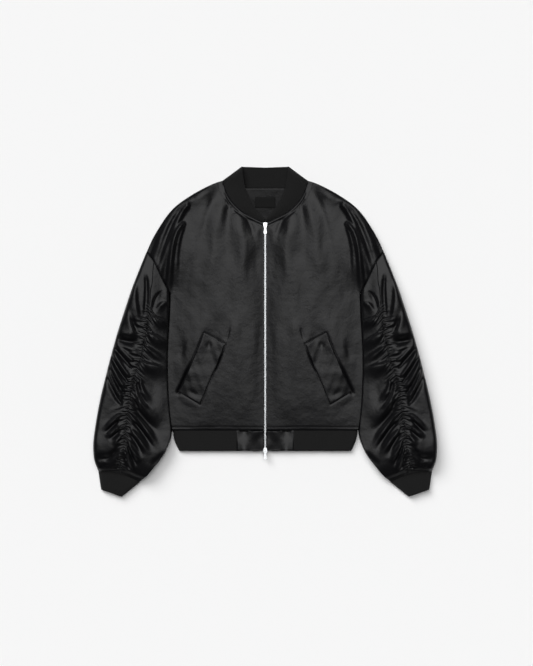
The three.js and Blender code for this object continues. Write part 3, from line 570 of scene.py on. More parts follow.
# Sleeves
# Each sleeve is two panels of satin: a seam down its middle is sewn over a narrow elastic, so both panels
# are drawn up in gathers along it, and long folds fan out from there. Full at the elbow, small at the wrist.
# Sections from armhole to cuff: outer edge x and y, inner edge x and y, the seam's share across, the crown.
SLEEVE = np.array([
    (266, 178, 213.3, 85, 0.73, CROWN),
    (284, 134, 215, 58, 0.57, 26),
    (298, 98, 217.3, 22, 0.51, 29),
    (316, 44, 220, -23, 0.467, 31),
    (333, -10, 220.8, -77, 0.483, 32),
    (352.5, -82, 219, -136, 0.557, 33),
    (370, -154, 214, -199, 0.59, 33),
    (380.5, -213, 212, -235, 0.59, 32),
    (385, -253, 224, -271, 0.572, 29),
    (383, -287, 246, -301.5, 0.563, 24),
    (377, -305.5, 264, -323, 0.537, 18),
    (374, -314, 281, -337, 0.487, 14),
])
SLEEVE_EDGE_ROUND = 24.0
SLEEVE_TOP_ROUND = 18.0
SLEEVE_UNDER_ROUND = 15.6
INNER_EDGE_ROUND = 1.5
BESIDE_BODY_SHIFT = np.array([-2.0, 0.0])
ARMHOLE_SHIFT = np.array([0.35, -0.2])
SLEEVE_LEAN = 10.0
CUFF_FULLNESS = 7.0
CUFF_ARC = 7.0
CUFF_RELIEF = [(2.6, 1.6, 0.8)]
SLEEVE_HEAD_RELIEF = [(0.0, 1.6, -0.6)]
UP_SLEEVE = np.array([-0.24, 0.97])
RUCHING_START = 0.2
GATHER_PITCH = 6.6
GATHER_HEIGHT = 2.4

seam_route = mix(SLEEVE[:, 2:4], SLEEVE[:, 0:2], SLEEVE[:, 4:5])
seam_length = np.concatenate([[0], np.cumsum(np.linalg.norm(np.diff(seam_route, axis=0), axis=1))])


def section_at(t):
    """The sleeve's outer and inner edge points with the crown's height, seam share and width at shares t of
    the seam's length."""
    k = np.interp(np.clip(t, 0, 1) * seam_length[-1], seam_length, np.arange(len(SLEEVE)))
    outer = through(SLEEVE[:, [0, 1, 5]], k)
    inner = through(SLEEVE[:, [2, 3, 5]], k)
    i = np.clip(k.astype(int), 0, len(SLEEVE) - 2)
    seam = mix(SLEEVE[i, 4], SLEEVE[i + 1, 4], smooth(k - i))
    width = np.linalg.norm((outer - inner)[..., :2], axis=-1)
    return outer, inner, seam, width


gather_places = np.arange(RUCHING_START * seam_length[-1], seam_length[-1] - 4, GATHER_PITCH)


def gathers(from_seam, t, seed):
    """The gathers across the elastic: each is a short ridge that runs on from one panel to the other, widens
    and slants down towards the cuff away from the seam, and is uneven in height, length and spacing."""
    shared = np.random.default_rng(5)
    own = np.random.default_rng(seed)
    at = t * seam_length[-1]
    lift = np.zeros(np.shape(t))
    for place in gather_places:
        centre = place + shared.uniform(-1.3, 1.3)
        height = GATHER_HEIGHT * shared.uniform(0.6, 1.15)
        reach = own.uniform(7, 14) + (own.uniform() < 0.35) * own.uniform(6, 18)
        slant = own.uniform(0.1, 0.75)
        off = at - centre - slant * from_seam
        lift = lift + height * bell(off / (1.9 + 0.07 * from_seam)) * bell(from_seam / reach)
    ruched = smooth((t - RUCHING_START + 0.02) / 0.05)
    return (lift - 1.6 * bell(from_seam / 12)) * ruched - 0.5 * bell(from_seam / 0.9) * (1 - ruched)


def cuff_arc(s):
    """How far the cuff's seam bows up the sleeve, at shares across it."""
    return CUFF_ARC * np.sin(np.pi * np.clip(s, 0, 1)) ** 1.2


def sleeve_point(s, t, on_top, seed=0):
    """A point of the sleeve: s runs from its inner edge to its outer edge, t from armhole to cuff. The top is
    a crown that leans down towards the body and swells above the cuff, with the folds and gathers on it,
    nearly upright at its inner edge and rounded at its outer one. The underside is flat on the table."""
    outer, inner, seam, width = section_at(t)
    at_armhole = (1 - smooth(t / 0.15))[..., None]
    straight = mix(np.array(ARMHOLE[0], float), np.array(ARMHOLE[-1], float), s[..., None])
    flat = mix(inner[..., :2], outer[..., :2], s[..., None])
    flat = flat + (along(armhole, s) - straight + ARMHOLE_SHIFT) * at_armhole
    beside_body = smooth(t / 0.1) * smooth((0.86 - t) / 0.1) * (1 - smooth(s / 0.3))
    flat = flat + BESIDE_BODY_SHIFT * beside_body[..., None]
    flat = flat + UP_SLEEVE * (cuff_arc(s) * smooth((t - 0.88) / 0.12))[..., None]
    x, y = flat[..., 0], flat[..., 1]
    crown = outer[..., 2]
    eased = smooth(t / 0.3)
    middle = np.minimum(SIDE_SEAM_Z, crown * 0.5)
    if not on_top:
        radius = mix(UNDER_ROUND, SLEEVE_UNDER_ROUND, eased)
        share = rise(s * width / radius) * rise((1 - s) * width / radius)
        return with_height(flat, np.maximum(0, middle * (1 - share) - FACE_LIFT))
    radius = mix(EDGE_ROUND, SLEEVE_TOP_ROUND, eased)
    share = rise(s * width / mix(radius, INNER_EDGE_ROUND, eased), 2.6) * rise((1 - s) * width / radius, 4)
    at_cuff = smooth((1 - t) / 0.035)
    lean = SLEEVE_LEAN * np.clip(1 - s / seam, 0, 1) ** 1.3 * smooth(t / 0.2) * smooth((1 - t) / 0.2)
    folds = folds_at(x, y, UPPER_SLEEVE_FOLDS + LOWER_SLEEVE_FOLDS) * mix(0.35, 1.0, at_cuff)
    height = crown - lean + folds + gathers(np.abs(s - seam) * width, t, seed) * at_cuff
    to_cuff = (1 - t) * seam_length[-1]
    height = height + CUFF_FULLNESS * smooth((t - 0.74) / 0.16) * smooth(to_cuff / 13)
    height = height + relief(to_cuff, CUFF_RELIEF) + relief(t * seam_length[-1], SLEEVE_HEAD_RELIEF)
    return with_height(flat, mix(middle, height, share) + FACE_LIFT)


FLAT_TURN = 0.6


def edge_turn(turn, start, end, width):
    """Shares of a section from start to end: even over its flat part, up to FLAT_TURN, then even in angle
    round the edge where it ends."""
    part = SLEEVE_EDGE_ROUND / width * np.sign(end - start)
    angle = (turn - FLAT_TURN) / (1 - FLAT_TURN) * np.pi / 2
    on_flat = mix(start, end - part, turn / FLAT_TURN)
    return np.where(turn < FLAT_TURN, on_flat, end - part * (1 - np.sin(angle)))


sleeve_rows = np.linspace(0, 1, 430)
INNER_GATHERS = 3
OUTER_GATHERS = 11


def top_of_sleeve(turns, edge, seed):
    """The upper grid of a panel, from the ruched seam to the inner edge, 0, or the outer edge, 1."""
    turn, t = np.meshgrid(turns, sleeve_rows, indexing="ij")
    _, _, seam, width = section_at(t)
    start = seam + (FACE_LIFT if edge else -FACE_LIFT) / width
    return sleeve_point(edge_turn(turn, start, edge, width).clip(0, 1), t, True, seed)


top_turns = np.concatenate([FLAT_TURN * np.linspace(0, 1, 56) ** 1.3, np.linspace(FLAT_TURN, 1, 12)[1:]])
inner_panel = top_of_sleeve(top_turns, 0, INNER_GATHERS)
outer_top = top_of_sleeve(top_turns, 1, OUTER_GATHERS)
half_under = np.concatenate([np.linspace(0, FLAT_TURN, 10), np.linspace(FLAT_TURN, 1, 7)[1:]])
turn, t = np.meshgrid(half_under, sleeve_rows, indexing="ij")
share_in = edge_turn(turn, 0.5, 0, section_at(t)[3]).clip(0, 1)
under_inner = sleeve_point(share_in, t, False)
under_outer = sleeve_point(1 - share_in, t, False)[::-1]
outer_panel = np.concatenate([outer_top, under_outer[1:], under_inner[1:]])[::-1]

for side in ("left", "right"):
    outer_grid = outer_panel if side == "left" else other_half(outer_panel)
    inner_grid = inner_panel if side == "left" else other_half(inner_panel)
    outer_piece = wall(f"satin_sleeve_outer_{side}", outer_grid, SATIN_THICK, satin)
    inner_piece = wall(f"satin_sleeve_inner_{side}", inner_grid, SATIN_THICK, satin)
    on_jacket(outer_piece, f"sleeve_outer_{side}")
    on_jacket(inner_piece, f"sleeve_inner_{side}")


# Cuffs
# Tubes of two-by-two rib knit in cotton with elastane, sewn on folded double, so the sleeve's fullness is
# drawn in to them. They lie flattened, and the ribs run towards the hand.
RIB_THICK = 2.2
RIB_PITCH = 3.0
RIB_HEIGHT = 0.55
CUFF_SEAM = np.array([(281, -337), (374, -314)], float)
CUFF_END = np.array([(322, -370), (368, -354)], float)
CUFF_HEIGHT = 13.0
CUFF_ROUND = 8.0
CUFF_WIDTH = 84.0
CUFF_LENGTH = 42.0

rib_knit, tree = new_material("cotton_rib_knit")
# Rib knit in matt cotton yarn: columns of small stitches on each rib and shade between the ribs. The colour
# is painted darker in the low hollow of each stitch loop, as painted shade. Stitches are 1.3 mm long, drawn
# at
# 1.6 mm, and the yarn is fuzzy, which greys it a little at a slant.
STITCH_LENGTH = 0.0016
knit = add_node(tree, "ShaderNodeUVMap", {"uv_map": "knit"})
turns_to_stitch = (2 * np.pi / (RIB_PITCH / 2 * MILLIMETRE), 2 * np.pi / STITCH_LENGTH, 1.0)
stitch_map = add_node(tree, "ShaderNodeMapping", {"Scale": turns_to_stitch}, {"Vector": knit.outputs[0]})
parts = add_node(tree, "ShaderNodeSeparateXYZ", links={"Vector": stitch_map.outputs[0]})
column = add_node(tree, "ShaderNodeMath", {"operation": "COSINE"}, {0: parts.outputs["X"]})
slant = add_node(tree, "ShaderNodeMath", {"operation": "MULTIPLY", 1: 1.4}, {0: column.outputs[0]})
slanted = add_node(tree, "ShaderNodeMath", {"operation": "ADD"}, {0: parts.outputs["Y"], 1: slant.outputs[0]})
loop = add_node(tree, "ShaderNodeMath", {"operation": "SINE"}, {0: slanted.outputs[0]})
place = add_node(tree, "ShaderNodeTexCoord").outputs["Object"]
fuzz = add_node(tree, "ShaderNodeTexNoise", {"Scale": 900.0, "Detail": 3.0}, {"Vector": place})
yarn = add_node(tree, "ShaderNodeMapRange", {"From Min": -1.0}, {"Value": loop.outputs[0]}).outputs[0]
# Painted shade: the stitch colour goes darker where the loop's bump is low.
stitch_tone_with_painted_shade = tinted(tree, "#131313", "#202020", yarn)
loop_bump = bumped(tree, 0.5, 0.0004, yarn)
fuzz_bump = bumped(tree, 0.35, 0.0004, fuzz.outputs["Fac"], loop_bump)
surface(
    tree, {"Roughness": 0.9, "Specular IOR Level": 0.12, "Sheen Weight": 0.04, "Sheen Roughness": 0.6},
    {"Base Color": stitch_tone_with_painted_shade, "Normal": fuzz_bump},
)


def ribbed(outer, rib_place, height, turned=1.0):
    """Raises ribs on a grid: each point moves out along its normal by a rounded wave of the rib pitch."""
    normal = np.cross(np.gradient(outer, axis=0), np.gradient(outer, axis=1)) * turned
    normal /= np.linalg.norm(normal, axis=2, keepdims=True).clip(1e-9)
    wave = np.abs(np.cos(np.pi * rib_place / RIB_PITCH)) ** 0.7
    return outer + normal * (wave * height)[..., None]


def rib_places(width, fine=5):
    """Shares across a band of a given width with a few points on each rib."""
    return np.linspace(0, 1, int(round(width / RIB_PITCH)) * fine + 1)


cuff_rows = np.linspace(0, 1, 14)
cuff_top = rib_places(CUFF_WIDTH)


def cuff_half(shares, on_top):
    """One face of the flattened cuff: a straight taper to its end, crowned and rounded to both edges."""
    share, v = np.meshgrid(shares, cuff_rows, indexing="ij")
    s = (1 - np.cos(share * np.pi)) / 2 * 0.5 + share * 0.5
    inner = mix(CUFF_SEAM[0], CUFF_END[0], v[..., None])
    outer = mix(CUFF_SEAM[1], CUFF_END[1], v[..., None])
    flat = mix(inner, outer, s[..., None]) + np.array([0.1, -0.4])
    width = np.linalg.norm(outer - inner, axis=-1)
    flat = flat + UP_SLEEVE * (cuff_arc(s) * (1 - v) ** 2)[..., None]
    crown = rise(s * width / CUFF_ROUND) * rise((1 - s) * width / CUFF_ROUND)
    half = CUFF_HEIGHT / 2
    swell = 0.8 * np.sin(np.pi * v) + 0.5 * np.sin(s * 11) * (1 - v)
    height = half + (half + swell) * crown if on_top else half - half * crown
    return with_height(flat, height), s * CUFF_WIDTH, v * CUFF_LENGTH


top_grid, top_place, top_along = cuff_half(cuff_top, True)
under_grid, under_place, under_along = cuff_half(cuff_top[::-1][1:-1], False)
cuff_grid = np.concatenate([top_grid, under_grid])
cuff_place = np.concatenate([top_place, 2 * CUFF_WIDTH - under_place])
cuff_along = np.concatenate([top_along, under_along])
cuff_ribbed = ribbed(cuff_grid, cuff_place, RIB_HEIGHT * (cuff_grid[..., 2] > 0.5), -1.0)
cuff_map = np.stack([cuff_place, cuff_along], axis=-1) * MILLIMETRE
for side in ("left", "right"):
    grid = cuff_ribbed[::-1] if side == "left" else other_half(cuff_ribbed[::-1])
    places = cuff_map[::-1] if side == "left" else cuff_map
    cuff = wall(f"knit_cuff_{side}", grid, RIB_THICK, rib_knit, closed=True, rib_map=places)
    on_jacket(cuff, f"cuff_{side}")


# Collar
# One band of the same rib knit, 54 mm deep, sewn round the neck. At the back it lies inside up, folds over
# at both sides and narrows to nothing at the zip, and the ribs run from the seam to the free edge.
COLLAR_FREE_FRONT = [(1.5, 254), (17, 270), (34, 296), (45.5, 325), (52.3, 370.5)]
COLLAR_FREE_BACK = [(0, 368.5), (28, 369.5), (52.3, 370.5)]
COLLAR_ROUND = 12.0
COLLAR_FREE_Z = 15.0
COLLAR_FREE_MIDDLE = 5.5
NECK_CENTRE = np.array([0.0, 335.0])
NECK_SEAM_GAP = 0.3
SEAM_FRONT = 140.0
SEAM_BACK = 97.0
COLLAR_DEPTH = 54.0
free_front = line_through(COLLAR_FREE_FRONT)
free_back = line_through(COLLAR_FREE_BACK)


def collar_half(turns, on_front):
    """Half the collar, straight between its seam on the neck edge and its free edge: turn runs from the zip,
    or from the middle of the back, to the side fold, closer together towards the fold."""
    turn, v = np.meshgrid(turns, np.linspace(0, 1, 16), indexing="ij")
    share = np.sin(turn * np.pi / 2) ** 1.3
    seam = along(neck_front if on_front else neck_back, share)
    free = along(free_front if on_front else free_back, share)
    seam_z = body_top(seam[..., 0], seam[..., 1]) if on_front else body_under(seam[..., 0], seam[..., 1])
    towards = NECK_CENTRE - seam
    towards /= np.linalg.norm(towards, axis=-1, keepdims=True).clip(1e-9)
    seam = seam + towards * NECK_SEAM_GAP
    if not on_front:
        seam = seam + np.array([0.0, NECK_SEAM_GAP])
    open_share = rise(np.linalg.norm(free - free_front[-1], axis=-1) / COLLAR_ROUND)
    if on_front:
        free_z = mix(COLLAR_FREE_MIDDLE, COLLAR_FREE_Z, open_share)
        swell = 2 * np.sin(np.pi * v) * open_share
    else:
        free_z = COLLAR_FREE_MIDDLE * (1 - open_share)
        swell = 0 * v
    flat = mix(seam, free, v[..., None])
    height = np.maximum(0, mix(seam_z, free_z, v) + swell)
    return with_height(flat, height), share * (SEAM_FRONT if on_front else SEAM_BACK), v * COLLAR_DEPTH


def even_turns(length):
    """Turns whose ribs come out even along the seam, with a few points on each rib."""
    return np.arcsin(rib_places(length) ** (1 / 1.3)) / (np.pi / 2)


front_grid, front_place, front_along = collar_half(even_turns(SEAM_FRONT), True)
back_grid, back_place, back_along = collar_half(even_turns(SEAM_BACK)[::-1][1:], False)
half_grid = np.concatenate([front_grid, back_grid])
half_place = np.concatenate([front_place, SEAM_FRONT + SEAM_BACK - back_place])
half_along = np.concatenate([front_along, back_along])
whole_seam = 2 * (SEAM_FRONT + SEAM_BACK)
collar_grid = np.concatenate([half_grid, half_grid[::-1][1:] * MIRROR])
collar_place = np.concatenate([half_place, whole_seam - half_place[::-1][1:]])
collar_along = np.concatenate([half_along, half_along[::-1][1:]])
is_back = (collar_place > SEAM_FRONT) & (collar_place < whole_seam - SEAM_FRONT)
collar_outer = ribbed(collar_grid, collar_place, RIB_HEIGHT * ~is_back)
collar_map = np.stack([collar_place, collar_along], axis=-1) * MILLIMETRE
collar = wall("knit_collar", collar_outer, RIB_THICK, rib_knit, rib_map=collar_map)
on_jacket(collar, "collar")


# Hem band
# Rib knit all round the bottom of the jacket, drawn in a little towards its lower edge, and sewn to a satin
# placket on each side of the zip. It is folded double and lies on itself.
HEM_LENGTH = 46.0
HEM_ROUND = 9.0
HEM_HALF = 206.5
HEM_DRAWN_IN = 14.0
HEM_HALF_LENGTH = 360.0
PLACKET_WIDTH = 64.0
SEAM_GAP = 0.3
hem_rows = np.linspace(0, 1, 14)


def hem_half(length_shares):
    """Half the band from the placket round the side to the middle of the back: straight on top, a half round
    at the side and straight underneath, and narrower towards its lower edge."""
    share, v = np.meshgrid(length_shares, hem_rows, indexing="ij")
    side = HEM_HALF - HEM_DRAWN_IN * v * v - HEM_ROUND
    half = HEM_TOP_Z / 2
    start = PLACKET_WIDTH + SEAM_GAP
    top = side - start
    turn = np.pi * (HEM_ROUND + half) / 2
    at = share * (top + turn + side)
    angle = np.clip((at - top) / turn, 0, 1) * np.pi
    x = np.where(at < top, start + at, np.where(at < top + turn, side, side - (at - top - turn)))
    x = x + HEM_ROUND * np.sin(angle)
    crease = 0.5 * np.sin(x / 11 + 3 * v) * np.sin(x / 27)
    z = half + (half + crease) * np.cos(angle)
    y = HEM_SEAM_Y - SEAM_GAP - (HEM_LENGTH - SEAM_GAP) * v
    roll = 1.6 * (1 - rise((1 - v) * 6)) * np.cos(angle)
    return np.stack([x, y, np.maximum(0, z - roll)], axis=-1), at, v * HEM_LENGTH


hem_grid, hem_place, hem_along = hem_half(rib_places(HEM_HALF_LENGTH))
whole_grid = np.concatenate([hem_grid, hem_grid[::-1][1:] * MIRROR])
whole_place = np.concatenate([hem_place, 2 * hem_place[-1:] - hem_place[::-1][1:]])
whole_along = np.concatenate([hem_along, hem_along[::-1][1:]])
hem_ribbed = ribbed(whole_grid, whole_place, RIB_HEIGHT * (whole_grid[..., 2] > 0.6), -1.0)
hem_map = np.stack([whole_place, whole_along], axis=-1) * MILLIMETRE
hem_band = wall("knit_hem_band", hem_ribbed[::-1], RIB_THICK, rib_knit, rib_map=hem_map[::-1])
on_jacket(hem_band, "hem_rib")


# Hem plackets
# A folded block of satin on each side of the zip's lower end, which keeps the rib away from the teeth. It is
# pressed flat, with its seam to the front panel on its upper edge.


def share_grid(columns, rows, first=0):
    """Two grids of even shares from a first value to 1: across and along."""
    return np.meshgrid(np.linspace(first, 1, columns), np.linspace(first, 1, rows), indexing="ij")


PLACKET_ROLL = 0.6
u, v = share_grid(40, 30)
placket_x = mix(FRONT_EDGE_X, PLACKET_WIDTH, u)
placket_y = mix(HEM_SEAM_Y - HEM_LENGTH, HEM_SEAM_Y - SEAM_GAP, v)
placket_edge = rise(u * 20) * rise((1 - u) * 20) * rise(v * 16) * rise((1 - v) * 16)
placket_tilt = 0.12 * bell((placket_x - 21) / 13) - 0.13 * bell((placket_x - 47) / 10)
placket_crease = placket_tilt * (placket_y + 244) + 0.3 * np.sin(placket_y / 7 + placket_x / 9)
placket_z = HEM_TOP_Z - PLACKET_ROLL + (PLACKET_ROLL + placket_crease) * placket_edge
placket_grid = np.stack([placket_x, placket_y, placket_z], -1)
for side, grid in (("left", placket_grid), ("right", other_half(placket_grid))):
    placket = wall(f"satin_placket_{side}", grid, SATIN_THICK, satin)
    on_jacket(placket, f"hem_placket_{side}")


# Pocket welts
# A slanted satin welt on each front, folded double and topstitched at its ends, that covers the pocket mouth.
# It stands a little off the front along its outer edge, where the hand goes in.
POCKET_LIFT = 0.7
POCKET_THICK = 2.0
POCKET_ROLL = 0.8
u, v = share_grid(44, 90)
upper = mix(POCKET_CORNERS[0], POCKET_CORNERS[1], u[..., None])
lower = mix(POCKET_CORNERS[2], POCKET_CORNERS[3], u[..., None])
pocket_flat = mix(upper, lower, v[..., None])
pocket_edge = rise(u * 14) * rise((1 - u) * 14) * rise(v * 30) * rise((1 - v) * 30)
pocket_relief = 1.2 * np.sin(np.pi * v) ** 0.6 * smooth(u) + 0.5 * np.sin(v * 13 + 2 * u) * np.sin(u * 5)
pocket_relief = pocket_relief + 0.3 * np.sin(v * 31 + 3 * u) * np.sin(u * 9 + v * 4)
pocket_relief = pocket_relief - 1.6 * bell((u - 0.62) / 0.12) * bell((v - 0.13) / 0.05)
pocket_relief = pocket_relief - 1.2 * bell((u - 0.4) / 0.2) * bell((v - 0.9) / 0.04)
pocket_base = body_top(pocket_flat[..., 0], pocket_flat[..., 1]) + POCKET_LIFT + POCKET_THICK - POCKET_ROLL
pocket_grid = with_height(pocket_flat, pocket_base + (POCKET_ROLL + pocket_relief) * pocket_edge)
for side, grid in (("left", pocket_grid[::-1]), ("right", other_half(pocket_grid[::-1]))):
    welt = wall(f"satin_pocket_welt_{side}", grid, SATIN_THICK, satin)
    on_jacket(welt, f"pocket_welt_{side}")


# Zip
# A two-way metal zip: nickel-plated teeth clamped on woven polyester tapes that lie under the fronts' edges,
# with a slider at each end. The sliders and pulls are cast zinc alloy, plated and polished.
TOOTH_PITCH = 2.5
TEETH_FROM = -260.0
TEETH_TO = 232.5

plated_metal, tree = new_material("nickel_plated_zinc")
# Nickel plating on cast zinc: bright, with small rubbed marks that dull it here and there.
place = add_node(tree, "ShaderNodeTexCoord").outputs["Object"]
rubbed = add_node(
    tree, "ShaderNodeTexNoise", {"Scale": 700.0, "Detail": 3.0}, {"Vector": place}
).outputs["Fac"]
polish = add_node(tree, "ShaderNodeMapRange", {"To Min": 0.16, "To Max": 0.34}, {"Value": rubbed})
metal_tone = tinted(tree, "#a9abad", "#d4d6d8", rubbed)
surface(tree, {"Metallic": 1.0}, {"Base Color": metal_tone, "Roughness": polish.outputs[0]})

zip_tape, tree = new_material("woven_polyester_tape")
# Plain woven tape: matt, with a fine grid of crossing threads, its colour painted darker where the threads
# dip between crossings, as painted shade.
place = add_node(tree, "ShaderNodeTexCoord").outputs["Object"]
threads = {"Scale": 420.0, "Distortion": 0.4}
warp = add_node(tree, "ShaderNodeTexWave", {**threads, "bands_direction": "X"}, {"Vector": place})
weft = add_node(tree, "ShaderNodeTexWave", {**threads, "bands_direction": "Y"}, {"Vector": place})
crossing = {0: warp.outputs["Fac"], 1: weft.outputs["Fac"]}
weave = add_node(tree, "ShaderNodeMath", {"operation": "MULTIPLY"}, crossing).outputs[0]
# Painted shade: the tape's colour goes darker where the weave's bump is low.
thread_tone_with_painted_shade = tinted(tree, "#101011", "#1e1e20", weave)
surface(tree, {"Roughness": 0.8}, {"Base Color": thread_tone_with_painted_shade, "Normal": bumped(tree, 0.5, 0.0003, weave)})


def zip_height(y):
    """The height of the fronts' edge beside the zip."""
    return body_top(np.full(np.shape(y), FRONT_EDGE_X), np.maximum(y, HEM_SEAM_Y)) + FACE_LIFT


def teeth(side):
    """One row of teeth: each is a short bar with a rounded head across the middle, set half a pitch from the
    other row's, and lies on the fronts' line."""
    outline = [(-0.55, -0.62), (1.3, -0.62), (2.25, -0.38), (2.25, 0.38), (1.3, 0.62), (-0.55, 0.62)]
    levels = [(-1.5, 0.86), (-1.2, 1.0), (0.35, 1.0), (0.7, 0.72)]
    ring = np.array([(x * side, y * shrink, z) for z, shrink in levels for x, y in outline])
    count = len(outline)
    ys = np.arange(TEETH_FROM, TEETH_TO, TOOTH_PITCH) + (TOOTH_PITCH / 2 if side > 0 else 0)
    lift = np.column_stack([np.zeros(len(ys)), ys, zip_height(ys)])
    points = (ring[None] + lift[:, None]).reshape(-1, 3)
    faces = [tuple(range(count))[::-1], tuple(range(len(ring) - count, len(ring)))]
    for level in range(len(levels) - 1):
        for i in range(count):
            a, b = level * count + i, level * count + (i + 1) % count
            faces.append((a, b, b + count, a + count))
    if side < 0:
        faces = [face[::-1] for face in faces]
    return points, [tuple(i + len(ring) * k for i in face) for k in range(len(ys)) for face in faces]


points_left, faces_left = teeth(1)
points_right, faces_right = teeth(-1)
teeth_points = np.concatenate([points_left, points_right])
teeth_faces = faces_left + [tuple(i + len(points_left) for i in face) for face in faces_right]
teeth_piece = mesh_object("metal_zip_teeth", teeth_points, teeth_faces, plated_metal)
on_jacket(teeth_piece, "zip_chain")

for name in ("zip_slider_top", "zip_slider_bottom", "zip_pull_top", "zip_pull_bottom"):
    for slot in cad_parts[name].material_slots:
        slot.material = plated_metal

TAPE_WIDTH = 14.0
TAPE_ENDS = (-267.0, 244.0)
TAPE_MIDDLE_GAP = 0.25
TAPE_UNDER_EDGE = 1.7
TAPE_UNDER_PLACKET = 4.0
u, v = share_grid(8, 160)
tape_x = mix(TAPE_MIDDLE_GAP, TAPE_WIDTH, u)
tape_y = mix(*TAPE_ENDS, v)
tape_dip = TAPE_UNDER_PLACKET * smooth((tape_x - 3) / 6) * smooth((HEM_SEAM_Y - tape_y) / 14)
tape_grid = np.stack([tape_x, tape_y, zip_height(tape_y) - TAPE_UNDER_EDGE - tape_dip], axis=-1)
for side, grid in (("left", tape_grid), ("right", other_half(tape_grid))):
    tape = wall(f"woven_zip_tape_{side}", grid, 0.7, zip_tape)
    on_jacket(tape, f"zip_tape_{side}")


# Inside the neck
# The back facing of satin shows in the neck opening, with a bare woven label sewn on it and a twill tape
# over the collar seam that also hangs the jacket.
painted_shade_facing_satin, tree = new_material("facing_satin_with_painted_shade")
# Shell satin with its colour painted darker and its gloss duller, as painted shade deep inside the neck.
# It crumples in small soft dents.
place = add_node(tree, "ShaderNodeTexCoord").outputs["Object"]
crumple = add_node(tree, "ShaderNodeTexNoise", {"Scale": 45.0, "Detail": 3.0}, {"Vector": place})
# Painted shade: a base colour and gloss below the shell satin's, for the shade inside the neck.
surface(
    tree, {"Base Color": linear("#060607"), "Roughness": 0.42, "Specular IOR Level": 0.14},
    {"Normal": bumped(tree, 0.5, 0.004, crumple.outputs["Fac"])},
)
FACING_HALF = (34.0, 66.0)
FACING_ENDS = (232.0, 319.5)
FACING_Z = 3.1
u, v = share_grid(70, 50)
facing_x = (2 * u - 1) * mix(*FACING_HALF, np.sqrt(v))
facing_y = mix(*FACING_ENDS, v)
facing_z = FACING_Z + 0.3 * np.sin(facing_x / 15 + facing_y / 19) * np.sin(facing_y / 11)
facing = wall("satin_neck_facing", np.stack([facing_x, facing_y, facing_z], -1), 1.1, painted_shade_facing_satin)
on_jacket(facing, "neck_facing")

label_weave, tree = new_material("damask_label_satin")
# Damask label: dull black satin, woven in fine rows.
place = add_node(tree, "ShaderNodeTexCoord").outputs["Object"]
rows = add_node(tree, "ShaderNodeTexWave", {"Scale": 300.0, "bands_direction": "Y"}, {"Vector": place})
label_tone = tinted(tree, "#0b0b0b", "#151515", rows.outputs["Fac"])
surface(tree, {"Roughness": 0.55, "Specular IOR Level": 0.08}, {"Base Color": label_tone})
LABEL_HALF = (23.0, 12.5)
LABEL_Y = 290.0
LABEL_Z = 3.7
u, v = share_grid(24, 14, -1)
label_edge = rise((1 - np.abs(u)) * 12) * rise((1 - np.abs(v)) * 8)
label_z = LABEL_Z + 0.5 * label_edge + 0.15 * np.sin(u * 4)
label_grid = np.stack([u * LABEL_HALF[0], LABEL_Y + v * LABEL_HALF[1], label_z], axis=-1)
label = wall("woven_neck_label", label_grid, 0.6, label_weave)
on_jacket(label, "neck_label")

twill, tree = new_material("cotton_twill_tape")
# Cotton twill: matt black, with fine slanting ridges that only show close to.
place = add_node(tree, "ShaderNodeTexCoord").outputs["Object"]
slanting = {"Scale": 500.0, "bands_direction": "DIAGONAL"}
ridges = add_node(tree, "ShaderNodeTexWave", slanting, {"Vector": place})
surface(
    tree, {"Base Color": linear("#1b1b1b"), "Roughness": 0.9, "Specular IOR Level": 0.1},
    {"Normal": bumped(tree, 0.4, 0.0003, ridges.outputs["Fac"])},
)
NECK_TAPE_HALF = (48.0, 2.7)
NECK_TAPE_Y = 324.6
NECK_TAPE_Z = 4.2
u, v = share_grid(40, 7, -1)
neck_tape_z = NECK_TAPE_Z + 0.3 * rise((1 - np.abs(v)) * 2) + 0.2 * np.sin(u * 9)
neck_tape_grid = np.stack([u * NECK_TAPE_HALF[0], NECK_TAPE_Y + v * NECK_TAPE_HALF[1], neck_tape_z], axis=-1)
neck_tape = wall("twill_neck_tape", neck_tape_grid, 0.8, twill)
on_jacket(neck_tape, "neck_tape")


# Topstitching
# Rows of polyester thread that hold the seams flat: above the hem seam, round the neck, along the shoulder,
# beside the zip and inside the edge of each pocket welt. Each stitch is 2.8 mm of thread with a short gap.
STITCH_STEP = 3.4
STITCH_REACH = 1.4
THREAD_RADIUS = 0.28

thread, tree = new_material("core_spun_polyester_thread")
# Sewing thread: two plies twisted together, with a dull gleam a shade lighter than the satin it lies on.
surface(tree, {"Base Color": linear("#101012"), "Roughness": 0.5, "Specular IOR Level": 0.3})


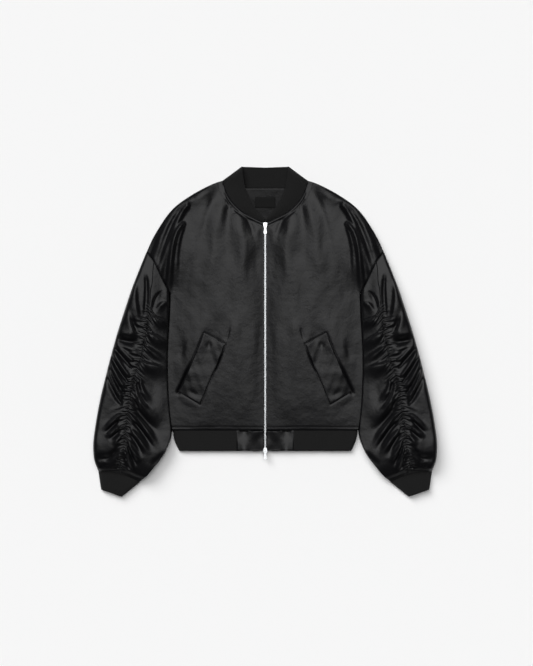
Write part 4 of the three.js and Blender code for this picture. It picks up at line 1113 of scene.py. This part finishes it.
def stitches(routes):
    """Points and faces of stitches at an even step along routes: each is three squares of points across the
    thread, small at its ends and full in the middle, joined by strips and closed at both ends."""
    stitch_points = []
    for route in routes:
        steps = np.linalg.norm(np.diff(route, axis=0), axis=1)
        count = int(steps.sum() / STITCH_STEP)
        share = (np.arange(count) + 0.5) / count
        middle = along(route, share)
        ahead = along(route, share + 1e-3) - along(route, share - 1e-3)
        ahead /= np.linalg.norm(ahead, axis=1, keepdims=True)
        across = np.cross([0.0, 0.0, 1.0], ahead)
        upward = np.cross(ahead, across)
        squares = [
            middle + ahead * reach * STITCH_REACH + (across * a + upward * b) * radius * THREAD_RADIUS
            for reach, radius in ((-1, 0.4), (0, 1), (1, 0.4))
            for a, b in ((1, 0), (0, 1), (-1, 0), (0, -1))
        ]
        stitch_points.append(np.stack(squares, axis=1).reshape(-1, 3))
    points = np.concatenate(stitch_points)
    one = [(3, 2, 1, 0), (8, 9, 10, 11)]
    for ring in (0, 4):
        one += [(ring + i, ring + (i + 1) % 4, ring + (i + 1) % 4 + 4, ring + i + 4) for i in range(4)]
    starts = np.arange(0, len(points), 12)[:, None, None]
    return points, (np.array(one)[None] + starts).reshape(-1, 4)


def on_body(flat, lift=0.3):
    """A route on the upper face of the body."""
    flat = np.asarray(flat, float)
    return with_height(flat, body_top(flat[:, 0], flat[:, 1]) + lift)


def inside(line, distance):
    """A line moved to its right by a distance."""
    ahead = np.gradient(line, axis=0)
    ahead /= np.linalg.norm(ahead, axis=1, keepdims=True)
    return line + np.column_stack([ahead[:, 1], -ahead[:, 0]]) * distance


neck_row = inside(neck_front, NECK_RELIEF[1][0])[4:-4]
shoulder_row = inside(shoulder, SHOULDER_RELIEF[0][0])[4:-2]
zip_row = np.column_stack([np.full(150, 8.0), np.linspace(HEM_SEAM_Y + 8, 236, 150)])
hem_row = np.column_stack([np.linspace(10, 204, 80), np.full(80, HEM_SEAM_Y + HEM_RELIEF[0][0])])
welt_u = np.array([0.05, 0.95, 0.95, 0.05, 0.05])
welt_v = np.array([0.018, 0.018, 0.982, 0.982, 0.018])
last_column, last_row = np.array(pocket_grid.shape[:2]) - 1
WELT_STITCH_LIFT = np.array([0.0, 0.0, 0.2])
welt_row = np.concatenate([
    pocket_grid[
        np.round(np.linspace(welt_u[i], welt_u[i + 1], 40) * last_column).astype(int),
        np.round(np.linspace(welt_v[i], welt_v[i + 1], 40) * last_row).astype(int),
    ]
    for i in range(4)
]) + WELT_STITCH_LIFT
half_rows = [on_body(neck_row), on_body(shoulder_row), on_body(zip_row), on_body(hem_row), welt_row]
stitch_points, stitch_faces = stitches(half_rows + [row * MIRROR for row in half_rows])
stitching = mesh_object("thread_topstitching", stitch_points, stitch_faces.tolist(), thread)
stitching.data.polygons.foreach_set("use_smooth", np.ones(len(stitch_faces), bool))
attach(stitching, "jacket")
